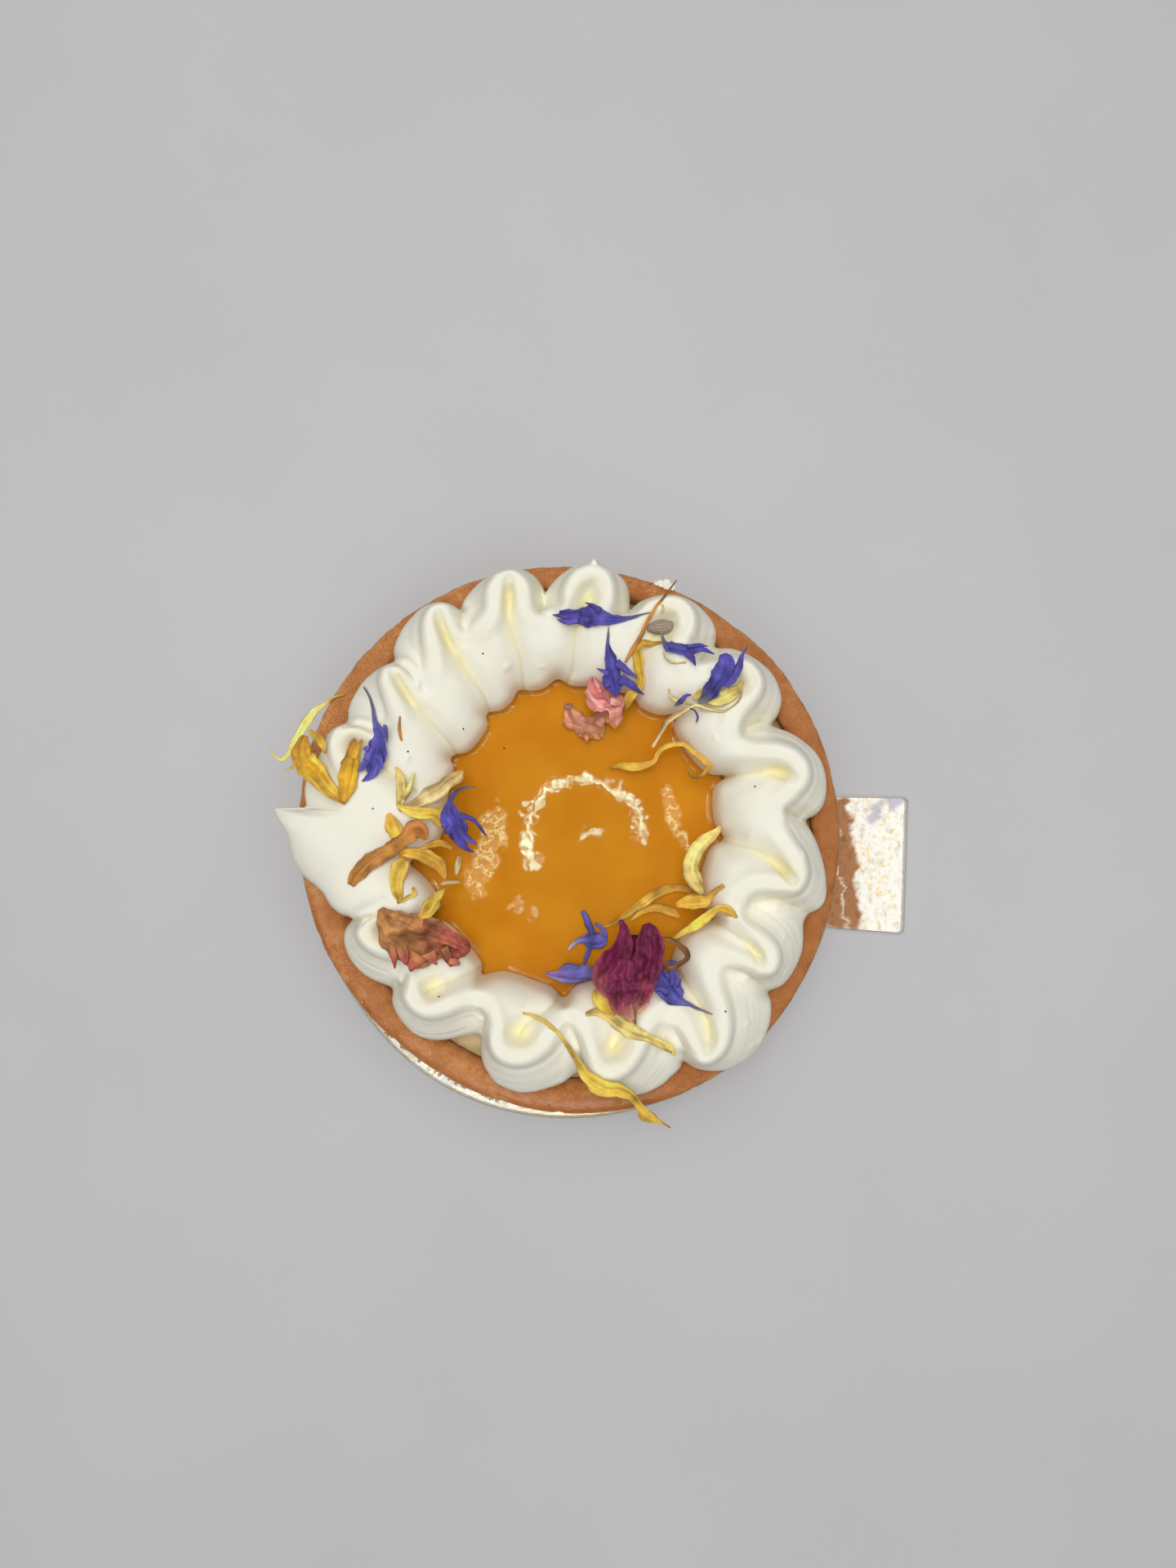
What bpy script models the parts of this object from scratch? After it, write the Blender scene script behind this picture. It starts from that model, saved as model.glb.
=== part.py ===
"""A small round citrus tart on its gold cake card.

A shortcrust shell holds a pale baked filling with a round of amber citrus gel on top.
One long ruffle of piped cream runs round the gel as a row of loops and ends in a pulled
tip, and dried petals lie on the cream, the gel and the rim.

The origin is on the tart's axis, on the underside of the card, with +Z up.  The card's
tab points along +X.  Lengths below are millimetres and angles are degrees; MM turns a
length into Blender's metres when a mesh is made.  Places that were picked by hand on the
reference photo stay pixels of that photo, and plan_of() works out where they lie.
"""
import math
from collections import namedtuple

import bmesh
import bpy
import numpy as np
from mathutils.bvhtree import BVHTree

MM = 0.001
GAP = 0.3                     # clear space between pieces that touch

# ---------------------------------------------------------------- driving dimensions
CARD_RADIUS = 45.0
CARD_THICKNESS = 1.2
CARD_CENTRE = (-0.9, -0.6)
TAB_REACH = 55.0              # from the tart's axis to the tab's end
TAB_WIDTH_ROOT = 21.6
TAB_WIDTH_END = 22.4
TAB_HEADING = -2.5            # the tab's own direction, turned from +X
TAB_OFFSET = -1.7             # where the tab's middle line crosses the Y axis
TAB_CORNER = 0.6
CARD_SIDES = 72

SHELL_RADIUS = 40.35          # mean radius of a slightly out-of-round shell
SHELL_OFFSET, SHELL_OFFSET_AT = 0.75, 130.0     # it bulges towards one side
SHELL_OVAL, SHELL_OVAL_AT = 0.65, 118.0         # and is a little longer than wide
SHELL_HEIGHT = 19.5
SHELL_WALL = 2.8
SHELL_FLOOR = 3.0
SHELL_SIDES = 66
RIM_ROUNDING = 0.8
RIM_UNEVENNESS = 0.2

FILLING_DEPTH = 12.9
GEL_RADIUS = 24.7
GEL_THICKNESS = 1.5
GEL_CROWN = 0.3

SHELL_SEAT = CARD_THICKNESS + GAP
RIM_TOP = SHELL_SEAT + SHELL_HEIGHT
FILLING_BASE = SHELL_SEAT + SHELL_FLOOR + GAP
FILLING_TOP = FILLING_BASE + FILLING_DEPTH
GEL_BASE = FILLING_TOP + GAP
GEL_EDGE_TOP = GEL_BASE + GEL_THICKNESS

# ---------------------------------------------------------------- reading the photo
PHOTO_MIDDLE = (720.0, 960.0)     # pixels right and down of the photo's corner
PHOTO_AXIS = (697.5, 1030.0)      # the middle of the crust's rim in the photo
PHOTO_FOCAL_LENGTH = 1442.0       # pixels
EYE = (2.36, 0.6, 196.0)          # where the photo was taken from
EYE_TILT = 2.58                   # how far it looks towards +Y from straight down


def plan_of(picks, level):
    """Plan places of photo pixels that show something at the given level."""
    right, down = (np.asarray(picks, dtype=float) - PHOTO_MIDDLE).T
    cos_tilt, sin_tilt = math.cos(math.radians(EYE_TILT)), math.sin(math.radians(EYE_TILT))
    towards_y = PHOTO_FOCAL_LENGTH * sin_tilt - down * cos_tilt
    downwards = PHOTO_FOCAL_LENGTH * cos_tilt + down * sin_tilt
    share = (EYE[2] - level) / downwards
    return np.column_stack([EYE[0] + share * right, EYE[1] + share * towards_y])


def around_axis(pick, level):
    """Angle and radius about the tart's axis of an angle and a reach in the photo."""
    at, reach = math.radians(pick[0]), pick[1]
    pixel = (PHOTO_AXIS[0] + reach * math.cos(at), PHOTO_AXIS[1] - reach * math.sin(at))
    x, y = plan_of([pixel], level)[0]
    return math.degrees(math.atan2(y, x)), math.hypot(x, y)


# ---------------------------------------------------------------- the piped ruffle
CREST_TOP = 31.2              # the ruffle's bright ridge at an outer turn
FLANK_TOP = 28.6              # the rounded body under an outer turn
DOME_TOP = 28.3               # the rounded body towards the gel
BED_TOP = 26.5
BED_RADIUS = 30.5
BED_HALF_WIDTH = 6.2
SEAT = 19.0                   # where the rounded bodies reach zero height
FLANK_DEPTH = 7.0             # radial half length of the outer bodies
DOME_DEPTH = 7.4              # radial half length of the inner bodies
RIDGE_HALF_WIDTH = 3.6
RIDGE_FALL = 9.5
RIDGE_SHARPNESS = 1.75
ROUNDNESS = 2.3               # 2 would be a true ellipse in plan
STROKE_ROUND = 0.14           # how round a turn is
STROKE_NECK = 0.15            # how far the two strokes of a loop close up behind it
STROKE_STEPS = 12
BLEND = 1.5                   # per millimetre: larger gives sharper creases
EDGE_LEVEL = 22.4             # height of the ruffle's widest outline

# One row a loop, in piping order.  The crest runs through an outer turn and then an
# inner turn, each picked on the photo as an angle and a reach in pixels from PHOTO_AXIS.
# The flank is the body under the outer turn; the dome lies towards the gel.
Loop = namedtuple("Loop", "crest flank_at flank_reach flank_half "
                          "turn turn_z dome_at dome_reach dome_half")
LOOP_PICKS = [
    Loop((156.0, 303), 158.0, 38.6, 5.2, (148.3, 265), 28.6, 151.0, 19.6, 5.0),
    Loop((136.5, 306), 141.0, 39.4, 6.0, (130.2, 267), 28.8, 133.0, 19.0, 5.2),
    Loop((120.0, 320), 124.0, 40.2, 6.1, (113.1, 274), 29.0, 115.5, 20.8, 4.9),
    Loop((103.3, 329), 105.5, 41.0, 6.0, (96.4, 276), 29.0, 99.8, 21.4, 4.9),
    Loop((85.3, 332), 85.8, 41.4, 6.0, (75.4, 279), 29.0, 82.5, 21.4, 5.2),
    Loop((64.6, 316), 65.0, 39.6, 6.0, (53.4, 268), 29.8, 57.5, 21.3, 6.4),
    Loop((42.0, 307), 42.0, 39.2, 6.0, (34.3, 250), 30.2, 33.5, 21.2, 6.4),
    Loop((17.0, 301), 18.0, 39.4, 6.3, (4.4, 257), 30.2, 4.5, 20.9, 6.0),
    Loop((-8.8, 293), -5.8, 39.2, 6.1, (-20.0, 229), 30.2, -17.0, 19.6, 5.2),
    Loop((-31.2, 294), -27.5, 37.4, 5.4, (-41.4, 240), 30.2, -41.0, 21.0, 5.4),
    Loop((-57.3, 320), -50.5, 39.4, 6.6, (-64.2, 247), 30.2, -64.5, 21.0, 5.0),
    Loop((-79.3, 300), -75.5, 37.8, 6.1, (-92.0, 223), 30.0, -88.0, 20.2, 5.4),
    Loop((-104.8, 281), -101.0, 38.0, 6.1, (-119.1, 223), 30.0, -115.0, 20.6, 6.2),
    Loop((-134.0, 274), -127.0, 38.2, 6.6, (-146.6, 217), 29.8, -142.0, 20.0, 5.6),
    Loop((-155.3, 282), -150.0, 38.2, 5.9, (-166.0, 235), 28.6, -163.0, 19.6, 5.6),
]
LOOPS = [loop._replace(crest=around_axis(loop.crest, CREST_TOP),
                       turn=around_axis(loop.turn, loop.turn_z)) for loop in LOOP_PICKS]

# Rounded bodies of the last stroke, which closes the ring under the pulled tip.
Body = namedtuple("Body", "x y half_x half_y top")
END_BODIES = [
    Body(-33.6, -1.8, 7.9, 7.4, 29.3),
    Body(-30.4, -7.2, 5.6, 5.4, 28.4),
    Body(-25.6, -1.0, 6.0, 5.6, 28.2),
    Body(-27.0, 6.0, 6.4, 5.6, 28.2),
    Body(-26.5, -8.5, 5.0, 5.0, 28.0),
]

# The pulled tip: x, y, height and half width along its ridge.
TIP_RIDGE = np.array([
    (-26.5, 0.5, 28.6, 4.6),
    (-33.0, 1.4, 29.0, 4.4),
    (-38.0, 2.6, 28.8, 3.2),
    (-42.2, 4.7, 28.0, 1.2),
])
TIP_SHARPNESS = 1.6
TIP_STEPS = 16

RING_COLUMNS = 144
RING_ROWS = 16                # rows over the top of the ring
SEARCH_STEP = 0.2             # spacing when the ring's outline is looked for
UNDERSIDE_OVER_GEL = GEL_EDGE_TOP + GAP + 0.1
UNDERSIDE_OVER_RIM = RIM_TOP + 0.5

# ---------------------------------------------------------------- the dried petals
PETAL_THICKNESS = 0.25
STEEPEST = 2.2                # a steep petal's upright thickness, in petal thicknesses
PETAL_GAP = 0.32
TOOTH = 2.0                   # how far a tooth at the end of a petal stands out
DEEPEST_NOTCH = 0.22          # the same, as a share of a short petal's length
OPEN_GROUND = 19.6            # level that a petal tip past the rim sinks towards

# form: strap, floret, fan or thread.  half: widest half width.  fold lifts the edges,
# wave ripples the sheet, lift_a and lift_b raise its ends.  along and across are the
# numbers of cells.  picks: photo pixels that its middle passes, seen at the given level.
Petal = namedtuple("Petal", "name finish form half fold wave lift_a lift_b along across "
                            "level picks")
# How far each form hangs down for each millimetre past the ground that carries it.
DROOP = {"strap": 0.35, "floret": 0.45, "fan": 0.5, "thread": 0.8}
PETALS = [
    Petal("petal_long", "yellow", "strap", 0.9, 0.1, 0.2, 0.4, 0.3, 14, 2, 31.0,
          [(616, 1241), (648, 1243), (675, 1255), (696, 1284), (712, 1308), (745, 1327),
           (782, 1340), (803, 1356), (820, 1370)]),
    Petal("petal_yellow_b", "yellow", "strap", 1.1, 0.2, 0.2, 0.2, 0.4, 8, 2, 30.5,
          [(720, 1238), (752, 1248), (782, 1265), (825, 1289)]),
    Petal("petal_yellow_a", "yellow", "strap", 1.1, 0.3, 0.1, 0.3, 0.2, 5, 2, 29.0,
          [(728, 1212), (737, 1231), (744, 1239)]),
    Petal("marigold_arch", "ochre", "strap", 1.3, 0.3, 0.3, 0.6, 0.3, 8, 2, 24.0,
          [(761, 1126), (782, 1099), (814, 1088), (841, 1090)]),
    Petal("marigold_upper", "ochre", "strap", 1.6, 0.3, 0.3, 0.2, 0.8, 8, 2, 26.0,
          [(826, 1104), (856, 1105), (872, 1098), (886, 1083)]),
    Petal("marigold_lower", "ochre", "strap", 1.3, 0.3, 0.2, 0.4, 0.6, 7, 2, 27.0,
          [(850, 1115), (880, 1113), (903, 1126)]),
    Petal("strip_gel", "ochre", "strap", 1.0, 0.4, 0.3, 0.6, 0.3, 10, 2, 24.0,
          [(878, 992), (862, 1016), (838, 1035), (841, 1064), (849, 1080)]),
    Petal("floret_low_a", "blue", "floret", 1.7, 0.4, 0.3, 0.2, 0.4, 6, 4, 24.0,
          [(720, 1170), (725, 1156), (724, 1138), (712, 1118)]),
    Petal("floret_low_b", "blue", "floret", 1.5, 0.3, 0.3, 0.3, 0.3, 6, 4, 25.0,
          [(728, 1190), (696, 1182), (670, 1190)]),
    Petal("floret_low_c", "blue", "floret", 1.6, 0.3, 0.3, 0.2, 0.4, 8, 4, 29.0,
          [(870, 1241), (836, 1228), (814, 1200), (797, 1185)]),
    Petal("curl_brown", "brown", "thread", 0.4, 0.0, 0.1, 0.2, 0.6, 8, 1, 29.0,
          [(816, 1173), (828, 1177), (841, 1172), (838, 1156), (826, 1150)]),
    Petal("rose_magenta", "magenta", "strap", 4.1, 0.75, 0.5, 0.6, 0.2, 9, 4, 28.0,
          [(781, 1124), (772, 1160), (768, 1200), (771, 1249)]),
    Petal("marigold_ochre", "ochre", "strap", 1.5, 0.3, 0.3, 0.6, 0.3, 8, 2, 28.0,
          [(477, 997), (485, 1030), (514, 1046), (552, 1072)]),
    Petal("marigold_down", "ochre", "strap", 1.0, 0.3, 0.2, 0.4, 0.4, 6, 2, 28.0,
          [(498, 1053), (485, 1072), (487, 1105)]),
    Petal("marigold_brown", "orange", "strap", 1.4, 0.3, 0.2, 0.2, 0.3, 8, 2, 29.0,
          [(429, 1083), (455, 1051), (487, 1035), (522, 1016)]),
    Petal("rose_fan", "russet", "fan", 5.0, 0.1, 0.5, 0.2, 0.4, 7, 6, 29.0,
          [(464, 1105), (498, 1130), (526, 1153), (544, 1178)]),
    Petal("petal_veined_up", "pale", "strap", 1.3, 0.3, 0.2, 0.8, 0.2, 6, 2, 30.0,
          [(485, 941), (495, 965), (502, 988)]),
    Petal("petal_veined", "pale", "strap", 2.0, 0.2, 0.2, 0.2, 0.9, 7, 2, 29.0,
          [(503, 992), (536, 968), (570, 949)]),
    Petal("petal_yellow_c", "yellow", "strap", 1.6, 0.2, 0.2, 0.2, 0.8, 7, 2, 29.0,
          [(505, 994), (536, 1000), (560, 1012)]),
    Petal("floret_gel", "blue", "floret", 1.7, 0.4, 0.3, 0.6, 0.2, 8, 4, 24.0,
          [(598, 965), (572, 970), (561, 992), (566, 1015), (584, 1042)]),
    Petal("petal_folded_a", "amber", "strap", 1.7, 0.7, 0.3, 0.2, 0.9, 8, 2, 31.0,
          [(430, 978), (395, 960), (378, 925), (388, 901)]),
    Petal("petal_folded_b", "amber", "strap", 1.5, 0.7, 0.2, 0.2, 0.9, 7, 2, 31.0,
          [(428, 983), (436, 945), (440, 908)]),
    Petal("floret_left", "blue", "floret", 1.7, 0.4, 0.3, 0.3, 0.3, 8, 4, 31.0,
          [(447, 842), (456, 874), (465, 905), (465, 932), (459, 956)]),
    Petal("sliver_small", "brown", "thread", 0.3, 0.0, 0.1, 0.1, 0.2, 4, 1, 31.0,
          [(490, 877), (491, 906)]),
    Petal("petal_overhang", "pale", "strap", 1.1, 0.3, 0.3, 0.1, 0.9, 10, 2, 23.5,
          [(416, 858), (404, 860), (386, 874), (370, 901), (354, 922), (340, 930), (326, 916)]),
    Petal("petal_golden", "amber", "strap", 1.2, 0.3, 0.3, 0.2, 0.2, 9, 2, 30.5,
          [(800, 776), (779, 800), (784, 826), (781, 848), (770, 868)]),
    Petal("rose_pink_lower", "pink", "fan", 2.4, 0.3, 0.6, 0.4, 0.2, 5, 4, 24.0,
          [(700, 859), (712, 881), (720, 901)]),
    Petal("rose_pink_upper", "pink", "fan", 2.3, 0.4, 0.6, 0.3, 0.3, 6, 4, 28.0,
          [(728, 832), (742, 860), (751, 890)]),
    Petal("floret_bell", "blue", "floret", 2.1, 0.4, 0.3, 0.3, 0.3, 8, 4, 31.0,
          [(744, 767), (743, 794), (752, 825), (757, 860)]),
    Petal("floret_top", "blue", "floret", 1.6, 0.3, 0.2, 0.2, 0.4, 8, 4, 31.5,
          [(797, 750), (766, 759), (725, 757), (681, 757)]),
    Petal("sliver_orange", "orange", "thread", 0.45, 0.1, 0.1, 0.2, 0.3, 8, 1, 31.5,
          [(822, 727), (806, 740), (790, 767), (769, 813)]),
    Petal("petal_pale", "pale", "strap", 1.8, 0.2, 0.2, 0.2, 0.2, 7, 2, 31.0,
          [(850, 860), (878, 853), (905, 836)]),
    Petal("floret_right", "blue", "floret", 1.6, 0.4, 0.3, 0.2, 0.5, 7, 4, 32.0,
          [(855, 864), (870, 838), (888, 815), (905, 801)]),
    Petal("floret_frayed", "blue", "floret", 1.2, 0.3, 0.2, 0.2, 0.3, 7, 4, 31.5,
          [(808, 778), (818, 790), (842, 797), (873, 802)]),
    Petal("thread_pale", "pale", "thread", 0.35, 0.0, 0.1, 0.2, 0.2, 12, 1, 24.0,
          [(795, 922), (801, 901), (814, 890), (832, 877), (854, 874)]),
    Petal("thread_curly", "ochre", "thread", 0.4, 0.0, 0.2, 0.2, 0.2, 18, 1, 24.0,
          [(739, 938), (766, 936), (798, 941), (808, 924), (836, 914), (862, 930), (858, 949),
           (844, 953)]),
]

# The small grey seed head: its pick and level, half length, half width, half height.
SEED_HEAD_PICK = (810, 764)
SEED_HEAD_LEVEL = 32.0
SEED_HEAD_HALF = (1.9, 0.95, 0.8)
SEED_HEAD_HEADING = 8.0

Finish = namedtuple("Finish", "red green blue roughness metallic")
FINISHES = {
    "card": Finish(0.80, 0.62, 0.30, 0.25, 1.0),
    "crust": Finish(0.55, 0.25, 0.09, 0.65, 0.0),
    "filling": Finish(0.80, 0.66, 0.36, 0.35, 0.0),
    "gel": Finish(0.80, 0.36, 0.02, 0.08, 0.0),
    "cream": Finish(0.93, 0.90, 0.78, 0.35, 0.0),
    "yellow": Finish(0.80, 0.55, 0.10, 0.60, 0.0),
    "ochre": Finish(0.70, 0.40, 0.06, 0.60, 0.0),
    "amber": Finish(0.72, 0.42, 0.03, 0.55, 0.0),
    "orange": Finish(0.60, 0.26, 0.06, 0.60, 0.0),
    "brown": Finish(0.30, 0.14, 0.05, 0.65, 0.0),
    "pale": Finish(0.80, 0.70, 0.38, 0.60, 0.0),
    "blue": Finish(0.10, 0.09, 0.50, 0.60, 0.0),
    "magenta": Finish(0.25, 0.03, 0.10, 0.60, 0.0),
    "pink": Finish(0.55, 0.20, 0.16, 0.65, 0.0),
    "russet": Finish(0.48, 0.16, 0.09, 0.60, 0.0),
    "grey": Finish(0.42, 0.34, 0.26, 0.70, 0.0),
}


# ---------------------------------------------------------------- height of the cream
def turn_points(at, radius):
    """Plan points at the given angles (degrees) and radii."""
    angle = np.radians(at)
    return np.stack([radius * np.cos(angle), radius * np.sin(angle)], axis=-1)


def stroke(loop, turn, share):
    """One stroke of the crest, from a loop's outer turn to an inner turn.

    The radius eases between the turns as a cosine.  The angle runs evenly, with a sine
    that rounds both turns and a sine squared that closes the loop behind its turn.
    """
    ease = (1.0 - np.cos(math.pi * share)) / 2.0
    swing = share + STROKE_ROUND * np.sin(2.0 * math.pi * share)
    swing -= STROKE_NECK * np.sin(math.pi * share) ** 2
    (crest_at, crest_radius), (turn_at, turn_radius) = loop.crest, turn.turn
    at = crest_at + (turn_at - crest_at) * swing
    radius = crest_radius + (turn_radius - crest_radius) * ease
    height = CREST_TOP + (turn.turn_z - CREST_TOP) * ease
    return np.column_stack([turn_points(at, radius), height])


def crest_line():
    """The whole crest: out of each loop, round its inner turn and into the next loop."""
    share = np.arange(STROKE_STEPS) / STROKE_STEPS
    runs = []
    for loop, following in zip(LOOPS, LOOPS[1:] + [None]):
        runs.append(stroke(loop, loop, share))
        if following is not None:
            runs.append(stroke(following, loop, 1.0 - share))
    return np.concatenate(runs)


def ridge_height(x, y, line, half_width, sharpness):
    """Height of a ridge that falls off with the distance from its line."""
    start, step = line[:-1], np.diff(line, axis=0)
    along_x = x[..., None] - start[:, 0]
    along_y = y[..., None] - start[:, 1]
    share = (along_x * step[:, 0] + along_y * step[:, 1]) / (step[:, :2] ** 2).sum(axis=1)
    share = np.clip(share, 0.0, 1.0)
    away = np.hypot(along_x - share * step[:, 0], along_y - share * step[:, 1])
    top = start[:, 2] + share * step[:, 2]
    if half_width is None:
        half_width = start[:, 3] + share * step[:, 3]
    return (top - RIDGE_FALL * (away / half_width) ** sharpness).max(axis=-1)


def body_height(across, along, half_across, half_along, top):
    """Height of a rounded body: a superellipse in plan with an elliptic section."""
    spread = np.abs(across / half_across) ** ROUNDNESS + np.abs(along / half_along) ** ROUNDNESS
    inside = SEAT + (top - SEAT) * np.sqrt(np.clip(1.0 - spread, 0.0, 1.0))
    return np.where(spread < 1.0, inside, 0.0)


def loop_body(x, y, at, middle, half_across, half_along, top):
    """A rounded body whose long axis points away from the tart's axis."""
    cos_at, sin_at = math.cos(math.radians(at)), math.sin(math.radians(at))
    return body_height(-x * sin_at + y * cos_at, x * cos_at + y * sin_at - middle,
                       half_across, half_along, top)


CREST_LINE = crest_line()
TIP_LINE = np.column_stack([np.interp(np.linspace(0, len(TIP_RIDGE) - 1, TIP_STEPS),
                                      range(len(TIP_RIDGE)), TIP_RIDGE[:, k])
                            for k in range(4)])


def cream_height(x, y):
    """Height of the cream's top over plan points: a smooth maximum of all its bodies."""
    layers = [ridge_height(x, y, CREST_LINE, RIDGE_HALF_WIDTH, RIDGE_SHARPNESS),
              ridge_height(x, y, TIP_LINE, None, TIP_SHARPNESS)]
    layers.append(body_height(0.0 * x, np.hypot(x, y) - BED_RADIUS, 1.0, BED_HALF_WIDTH, BED_TOP))
    for loop in LOOPS:
        layers.append(loop_body(x, y, loop.flank_at, loop.flank_reach - FLANK_DEPTH,
                                loop.flank_half, FLANK_DEPTH, FLANK_TOP))
        layers.append(loop_body(x, y, loop.dome_at, loop.dome_reach + DOME_DEPTH,
                                loop.dome_half, DOME_DEPTH, DOME_TOP))
    for body in END_BODIES:
        layers.append(body_height(x - body.x, y - body.y, body.half_x, body.half_y, body.top))
    layers = np.maximum(np.stack(layers), 0.0)
    highest = layers.max(axis=0)
    return highest + np.log(np.exp(BLEND * (layers - highest)).sum(axis=0)) / BLEND


# ---------------------------------------------------------------- mesh helpers
def new_material(name):
    """A Principled material in one of the tart's finishes."""
    finish = FINISHES[name]
    material = bpy.data.materials.new(name)
    material.use_nodes = True
    shader = material.node_tree.nodes["Principled BSDF"]
    shader.inputs["Base Color"].default_value = (finish.red, finish.green, finish.blue, 1.0)
    shader.inputs["Roughness"].default_value = finish.roughness
    shader.inputs["Metallic"].default_value = finish.metallic
    return material


MATERIALS = {}


def new_object(name, mesh, finish, parent):
    """Put a mesh into the scene as one named sub-part."""
    if finish not in MATERIALS:
        MATERIALS[finish] = new_material(finish)
    mesh.materials.append(MATERIALS[finish])
    item = bpy.data.objects.new(name, mesh)
    item.parent = parent
    bpy.context.scene.collection.objects.link(item)
    return item


def mesh_from(points, faces, name):
    """A mesh from points in millimetres."""
    mesh = bpy.data.meshes.new(name)
    mesh.from_pydata((np.asarray(points) * MM).tolist(), [], faces)
    mesh.validate()
    return mesh


def turned_solid(radii, heights, sides, name):
    """A solid turned about the tart's axis, closed by a point at both ends.

    radii and heights are arrays of (profile point, side); the profile runs from the top
    of the axis outwards and down to the bottom of the axis.
    """
    angle = np.arange(sides) * 2.0 * math.pi / sides
    rows = len(radii)
    points = np.stack([radii * np.cos(angle), radii * np.sin(angle), heights], axis=-1)
    points = points.reshape(-1, 3)
    top, bottom = rows * sides, rows * sides + 1
    points = np.vstack([points, (0.0, 0.0, heights[0].mean()), (0.0, 0.0, heights[-1].mean())])
    faces = []
    for side in range(sides):
        after = (side + 1) % sides
        faces.append((top, side, after))
        for row in range(rows - 1):
            here, below = row * sides, (row + 1) * sides
            faces.append((here + side, below + side, below + after, here + after))
        last = (rows - 1) * sides
        faces.append((bottom, last + after, last + side))
    return mesh_from(points, faces, name)


def smooth(item, sharp_angle=50.0):
    """Shade a piece smooth, apart from its real edges."""
    item.data.shade_smooth()
    item.data.set_sharp_from_angle(angle=math.radians(sharp_angle))


# ---------------------------------------------------------------- the pieces
def add_card(parent):
    """The round gold card with its straight pull tab."""
    heading = math.radians(TAB_HEADING)
    forward = np.array([math.cos(heading), math.sin(heading)])
    side = np.array([-forward[1], forward[0]])
    root = np.array([0.0, TAB_OFFSET])
    middle = np.array(CARD_CENTRE)

    def tab_point(reach, half_width):
        return root + forward * reach + side * half_width

    half_root, half_end = TAB_WIDTH_ROOT / 2, TAB_WIDTH_END / 2
    shoulder = math.sqrt(CARD_RADIUS ** 2 - half_root ** 2)
    upper, lower = tab_point(shoulder, half_root) - middle, tab_point(shoulder, -half_root) - middle
    first = math.atan2(upper[1], upper[0])
    last = math.atan2(lower[1], lower[0]) + 2.0 * math.pi
    angle = np.linspace(first, last, CARD_SIDES)
    arc = middle + CARD_RADIUS * np.stack([np.cos(angle), np.sin(angle)], axis=-1)
    tab = [tab_point(TAB_REACH - TAB_CORNER, -half_end), tab_point(TAB_REACH, -half_end + TAB_CORNER),
           tab_point(TAB_REACH, half_end - TAB_CORNER), tab_point(TAB_REACH - TAB_CORNER, half_end)]
    outline = np.vstack([arc, tab])
    mesh = mesh_from(np.column_stack([outline, np.zeros(len(outline))]),
                     [tuple(range(len(outline)))], "cake_board")
    shape = bmesh.new()
    shape.from_mesh(mesh)
    raised = bmesh.ops.extrude_face_region(shape, geom=shape.faces[:])
    top = [part for part in raised["geom"] if isinstance(part, bmesh.types.BMVert)]
    bmesh.ops.translate(shape, verts=top, vec=(0.0, 0.0, CARD_THICKNESS * MM))
    bmesh.ops.recalc_face_normals(shape, faces=shape.faces[:])
    shape.to_mesh(mesh)
    shape.free()
    return new_object("cake_board", mesh, "card", parent)


def shell_radius(angle):
    """Outer radius of the shell: round, pushed out on one side and slightly oval."""
    return (SHELL_RADIUS + SHELL_OFFSET * np.cos(angle - math.radians(SHELL_OFFSET_AT))
            + SHELL_OVAL * np.cos(2.0 * (angle - math.radians(SHELL_OVAL_AT))))


def unevenness(angle, phase):
    """A slow deviation of a hand-lined rim, between -1 and 1."""
    return (0.5 * np.sin(3 * angle + phase) + 0.3 * np.sin(7 * angle + 2 * phase)
            + 0.2 * np.sin(16 * angle + 3 * phase))


def add_shell(parent):
    """The shortcrust cup: floor, upright wall and an uneven, softly rounded rim."""
    angle = np.arange(SHELL_SIDES) * 2.0 * math.pi / SHELL_SIDES
    outer = shell_radius(angle)
    inner = outer - SHELL_WALL
    outward = RIM_UNEVENNESS * unevenness(angle, 0.7)
    upward = RIM_UNEVENNESS * unevenness(angle, 2.1)
    level = np.zeros(SHELL_SIDES)
    rows = [
        (inner, SHELL_SEAT + SHELL_FLOOR + level),
        (inner, RIM_TOP - RIM_ROUNDING + level),
        (inner + SHELL_WALL / 4, RIM_TOP - 0.1 + upward),
        (outer - SHELL_WALL / 4, RIM_TOP + upward),
        (outer + outward, RIM_TOP - RIM_ROUNDING + upward),
        (outer + outward / 2, SHELL_SEAT + SHELL_HEIGHT / 2 + level),
        (outer - 0.1, SHELL_SEAT + RIM_ROUNDING + level),
        (outer - RIM_ROUNDING, SHELL_SEAT + level),
    ]
    radii, heights = (np.array(part) for part in zip(*rows))
    shell = new_object("tart_shell", turned_solid(radii, heights, SHELL_SIDES, "tart_shell"),
                       "crust", parent)
    smooth(shell)
    return shell


def add_filling(parent):
    """The pale baked filling, level inside the shell."""
    angle = np.arange(SHELL_SIDES) * 2.0 * math.pi / SHELL_SIDES
    outer = shell_radius(angle) - SHELL_WALL - GAP
    level = np.zeros(SHELL_SIDES)
    heights = np.array([FILLING_TOP + level, FILLING_BASE + level])
    return new_object("filling", turned_solid(np.array([outer, outer]), heights, SHELL_SIDES,
                                              "filling"), "filling", parent)


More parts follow.
